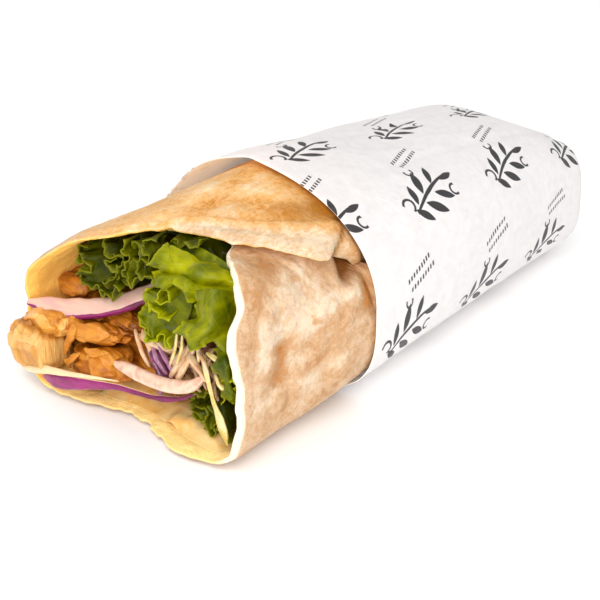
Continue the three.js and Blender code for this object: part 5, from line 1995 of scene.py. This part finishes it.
# ------------------------------------------------------------------ sauce and cores
@dataclass
class Sauce:
    """The pool of sauce on the bread at the bottom of the mouth."""

    roll: RollShape = ROLL
    wall: float = 1.5
    # place along and across the roll, width and height of the small swells
    blobs: Swells = (
        (5.0, -15.4, 2.6, 1.3), (6.8, -19.6, 1.8, 0.8), (3.6, -8.4, 2.4, 0.6),
    )  # fmt: skip

    def build(self, finish: bpy.types.Material) -> bpy.types.Object:
        """Makes the sauce and dresses it."""
        piece, u, v = new_grid("sauce_pool", 96, 48)
        angle = mix(40.0, 118.0, u)
        runs = 1.2 * np.sin(u * 7) + 0.5 * wander(u * 5, 71)
        front = along(LIP, angle) + 3.4 + runs
        x = mix(front, 26.0, v)
        edge = np.minimum(np.minimum(v * 22, (1 - v) * 22), np.minimum(u, 1 - u) * 60)
        lift = 0.02 + 1.3 * ramp(edge, 0, 7)
        floor = mix(0.3, 1.1, ramp(x, 15, 45)) + 2.5 + lift
        points = self.roll.skin(angle, x, 3.6 + lift, floor)
        px, py = points[:, 0], points[:, 1]
        swell = 0.4 * noise(px / 9, py / 9, u * 0, 73)
        points[:, 2] += (0.5 + swell) * ramp(edge, 0, 6)
        for at, side, wide, tall in self.blobs:
            points[:, 2] += tall * np.exp(-(((px - at) ** 2 + (py - side) ** 2) / wide**2) ** 1.2)
        shape(piece, points)
        weigh(piece, "wall", mix(0.04, 1.0, np.sqrt(ramp(edge, 0, 3.2))))
        thicken(piece, self.wall, 0.0, "wall")
        modify(piece, "SUBSURF", levels=1, render_levels=1)
        return hand_over(piece, finish, "sauce", "sauce")


@dataclass
class FillingCores:
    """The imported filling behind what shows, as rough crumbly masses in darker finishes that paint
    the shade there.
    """

    voxel: float = 1.5

    def build(
        self, nodes: dict[str, bpy.types.Object], finishes: dict[str, bpy.types.Material]
    ) -> None:
        """Makes a rough mass of each packed core.

        Args:
            nodes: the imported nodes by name.
            finishes: the material of each core, by its slot.
        """
        for slot, finish in finishes.items():
            source = nodes[f"{slot}_filling"]
            piece = bpy.data.objects.new(f"{slot}_mass", source.data.copy())
            bpy.context.scene.collection.objects.link(piece)
            mend(piece, merge=1e-6, turn=False)
            modify(piece, "REMESH", mode="VOXEL", voxel_size=self.voxel * MM)
            relief(piece, 5.0, 1.0)
            relief(piece, 1.8, 0.45)
            points = coordinates(piece) / MM - np.array(ROLL_ORIGIN)
            # painted shade: the cores are marked darker, with random variation over it
            painted_shade_and_tint = 0.4 * noise(*(points / 2.0).T, 81)
            tone_and_painted_shading = -0.35 + 0.2 * noise(*(points / 3.0).T, 83)
            mark(piece, painted_shade_and_tint=painted_shade_and_tint, tone_and_painted_shading=tone_and_painted_shading, rim=tone_and_painted_shading * 0, vein=tone_and_painted_shading * 0)
            hand_over(piece, finish, slot, f"{slot}_filling")


# ------------------------------------------------------------------ studio
@dataclass
class Studio:
    """Pale floor, soft light and the camera at the photograph's angle."""

    camera_at: Point = (-0.2932, -0.2503, 0.1917)
    looks: Point = (0.6704, 0.6036, -0.4321)
    lens: float = 84.0
    floor: Colour = (0.97, 0.97, 0.97)

    def build(self) -> None:
        """Adds the floor, the lights and the camera."""
        bpy.ops.object.select_all(action="DESELECT")
        bpy.ops.mesh.primitive_plane_add(size=6.0, location=(0, 0, -0.0002))
        floor = bpy.context.active_object
        floor.name = "floor"
        floor.data.materials.append(PlainFinish("floor", self.floor).material())
        self.sun("key", (-0.55, -0.45, 0.8), 1.3, 40, (1.0, 0.99, 0.98))
        self.sun("fill", (0.3, -0.8, 0.5), 0.3, 70, (0.98, 0.985, 1.0))
        self.sun("back", (0.0, 0.85, 0.5), 0.5, 60, (1.0, 0.99, 0.98))
        self.light("front", (-0.5, -0.34, 0.15), 0.3, 1.7, (1.0, 0.99, 0.98))
        self.light("spark", (-0.4, -0.05, 0.6), 0.16, 0.5, (1.0, 1.0, 1.0))
        world = bpy.data.worlds.new("studio")
        bpy.context.scene.world = world
        world.use_nodes = True
        background = next(n for n in world.node_tree.nodes if n.type == "BACKGROUND")
        background.inputs["Color"].default_value = (1.0, 1.0, 1.0, 1.0)
        background.inputs["Strength"].default_value = 0.62
        data = bpy.data.cameras.new("camera")
        data.lens, data.sensor_width, data.clip_start = self.lens, 36.0, 0.01
        camera = bpy.data.objects.new("camera", data)
        camera.location = self.camera_at
        camera.rotation_euler = Vector(self.looks).to_track_quat("-Z", "Y").to_euler()
        bpy.context.scene.collection.objects.link(camera)
        bpy.context.scene.camera = camera
        bpy.context.scene.view_settings.view_transform = "Standard"

    def sun(self, name: str, at: Point, power: float, soft: float, colour: Colour) -> None:
        """Adds an even light from a direction, as soft as its angle in degrees."""
        data = bpy.data.lights.new(name, "SUN")
        data.energy, data.angle, data.color = power, math.radians(soft), colour
        lamp = bpy.data.objects.new(name, data)
        lamp.rotation_euler = (-Vector(at)).to_track_quat("-Z", "Y").to_euler()
        bpy.context.scene.collection.objects.link(lamp)

    def light(self, name: str, at: Point, size: float, power: float, colour: Colour) -> None:
        """Adds a soft square light that faces the wrap."""
        data = bpy.data.lights.new(name, "AREA")
        data.size, data.energy, data.color = size, power, colour
        lamp = bpy.data.objects.new(name, data)
        lamp.location = at
        ahead = Vector((0, 0, 0.03)) - Vector(at)
        lamp.rotation_euler = ahead.to_track_quat("-Z", "Y").to_euler()
        bpy.context.scene.collection.objects.link(lamp)


def build_all(frame: dict[str, object]) -> None:
    """Builds the wrap's pieces in order."""
    bread = BreadFinish().material()
    chicken = {
        "golden": ChickenFinish("chicken_golden", toast=0.05).material(),
        "light": ChickenFinish(
            "chicken_light", (0.82, 0.44, 0.13), (0.7, 0.29, 0.04), (0.3, 0.09, 0.004), -0.04,
        ).material(),
        "pale": ChickenFinish(
            "chicken_pale", (0.72, 0.43, 0.14), (0.62, 0.29, 0.06), (0.4, 0.15, 0.015), -0.04,
            (1.3, 1.3, 9.0),
        ).material(),
        "crust": ChickenFinish("chicken_crust", golden=(0.5, 0.17, 0.015), toast=0.2).material(),
    }  # fmt: skip
    bright = LeafFinish("leaf_bright").material()
    # the dark leaves' edges are far lighter than their body: partly painted light
    dark = LeafFinish(
        "leaf_dark", bright=(0.1, 0.105, 0.001), middle=(0.03, 0.038, 0.0),
        dark=(0.007, 0.012, 0.0), vein=(0.1, 0.11, 0.005), edge=(0.2, 0.2, 0.004), gloss=0.12,
    ).material()  # fmt: skip
    onion = OnionFinish("onion").material()
    cream_onion = OnionFinish("onion_cream", (0.82, 0.62, 0.36), (0.76, 0.52, 0.32)).material()
    cabbage = {
        "pale": CabbageFinish("cabbage").material(),
        "thick": CabbageFinish("cabbage_thick", (0.78, 0.55, 0.41), (0.6, 0.32, 0.21)).material(),
        "middle": CabbageFinish(
            "cabbage_middle", (0.58, 0.36, 0.19), (0.32, 0.14, 0.05)
        ).material(),
        "yellow": CabbageFinish("cabbage_yellow", (0.8, 0.62, 0.3), (0.56, 0.42, 0.06)).material(),
        # a darker copy of the cabbage finish: painted shade for the small shreds back in the slaw
        # and for the slaw's core
        "deep": CabbageFinish("cabbage_shaded", (0.42, 0.2, 0.09), (0.16, 0.05, 0.02)).material(),
        "lilac": CabbageFinish("cabbage_lilac", (0.46, 0.22, 0.34), (0.2, 0.05, 0.12)).material(),
        "purple": CabbageFinish(
            "cabbage_purple", (0.24, 0.05, 0.13), (0.08, 0.01, 0.04)
        ).material(),
    }
    Flatbread().build(bread)
    BreadLayer().build(bread)
    PaperSleeve().build(PaperFinish().material())
    Sauce().build(SauceFinish().material())
    OnionSlices().build(onion, cream_onion)
    shreds = CabbageShreds()
    shreds.build(cabbage)
    # the small pale shreds take the darker cabbage copy: painted shade
    shreds.build_small(cabbage["deep"], cabbage["purple"])
    ChickenPieces().build(chicken)
    LettuceLeaves().build(bright, dark)
    # darker finishes for the cores: painted shade behind the visible filling
    cores = {"chicken": chicken["crust"], "slaw": cabbage["deep"], "lettuce": dark}
    FillingCores().build(frame["nodes"], cores)


def main() -> None:
    """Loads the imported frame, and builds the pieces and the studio."""
    logging.basicConfig(level=logging.INFO, format="%(name)s: %(message)s")
    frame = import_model()
    build_all(frame)
    Studio().build()
    bpy.context.view_layer.update()


if __name__ == "__main__":
    main()
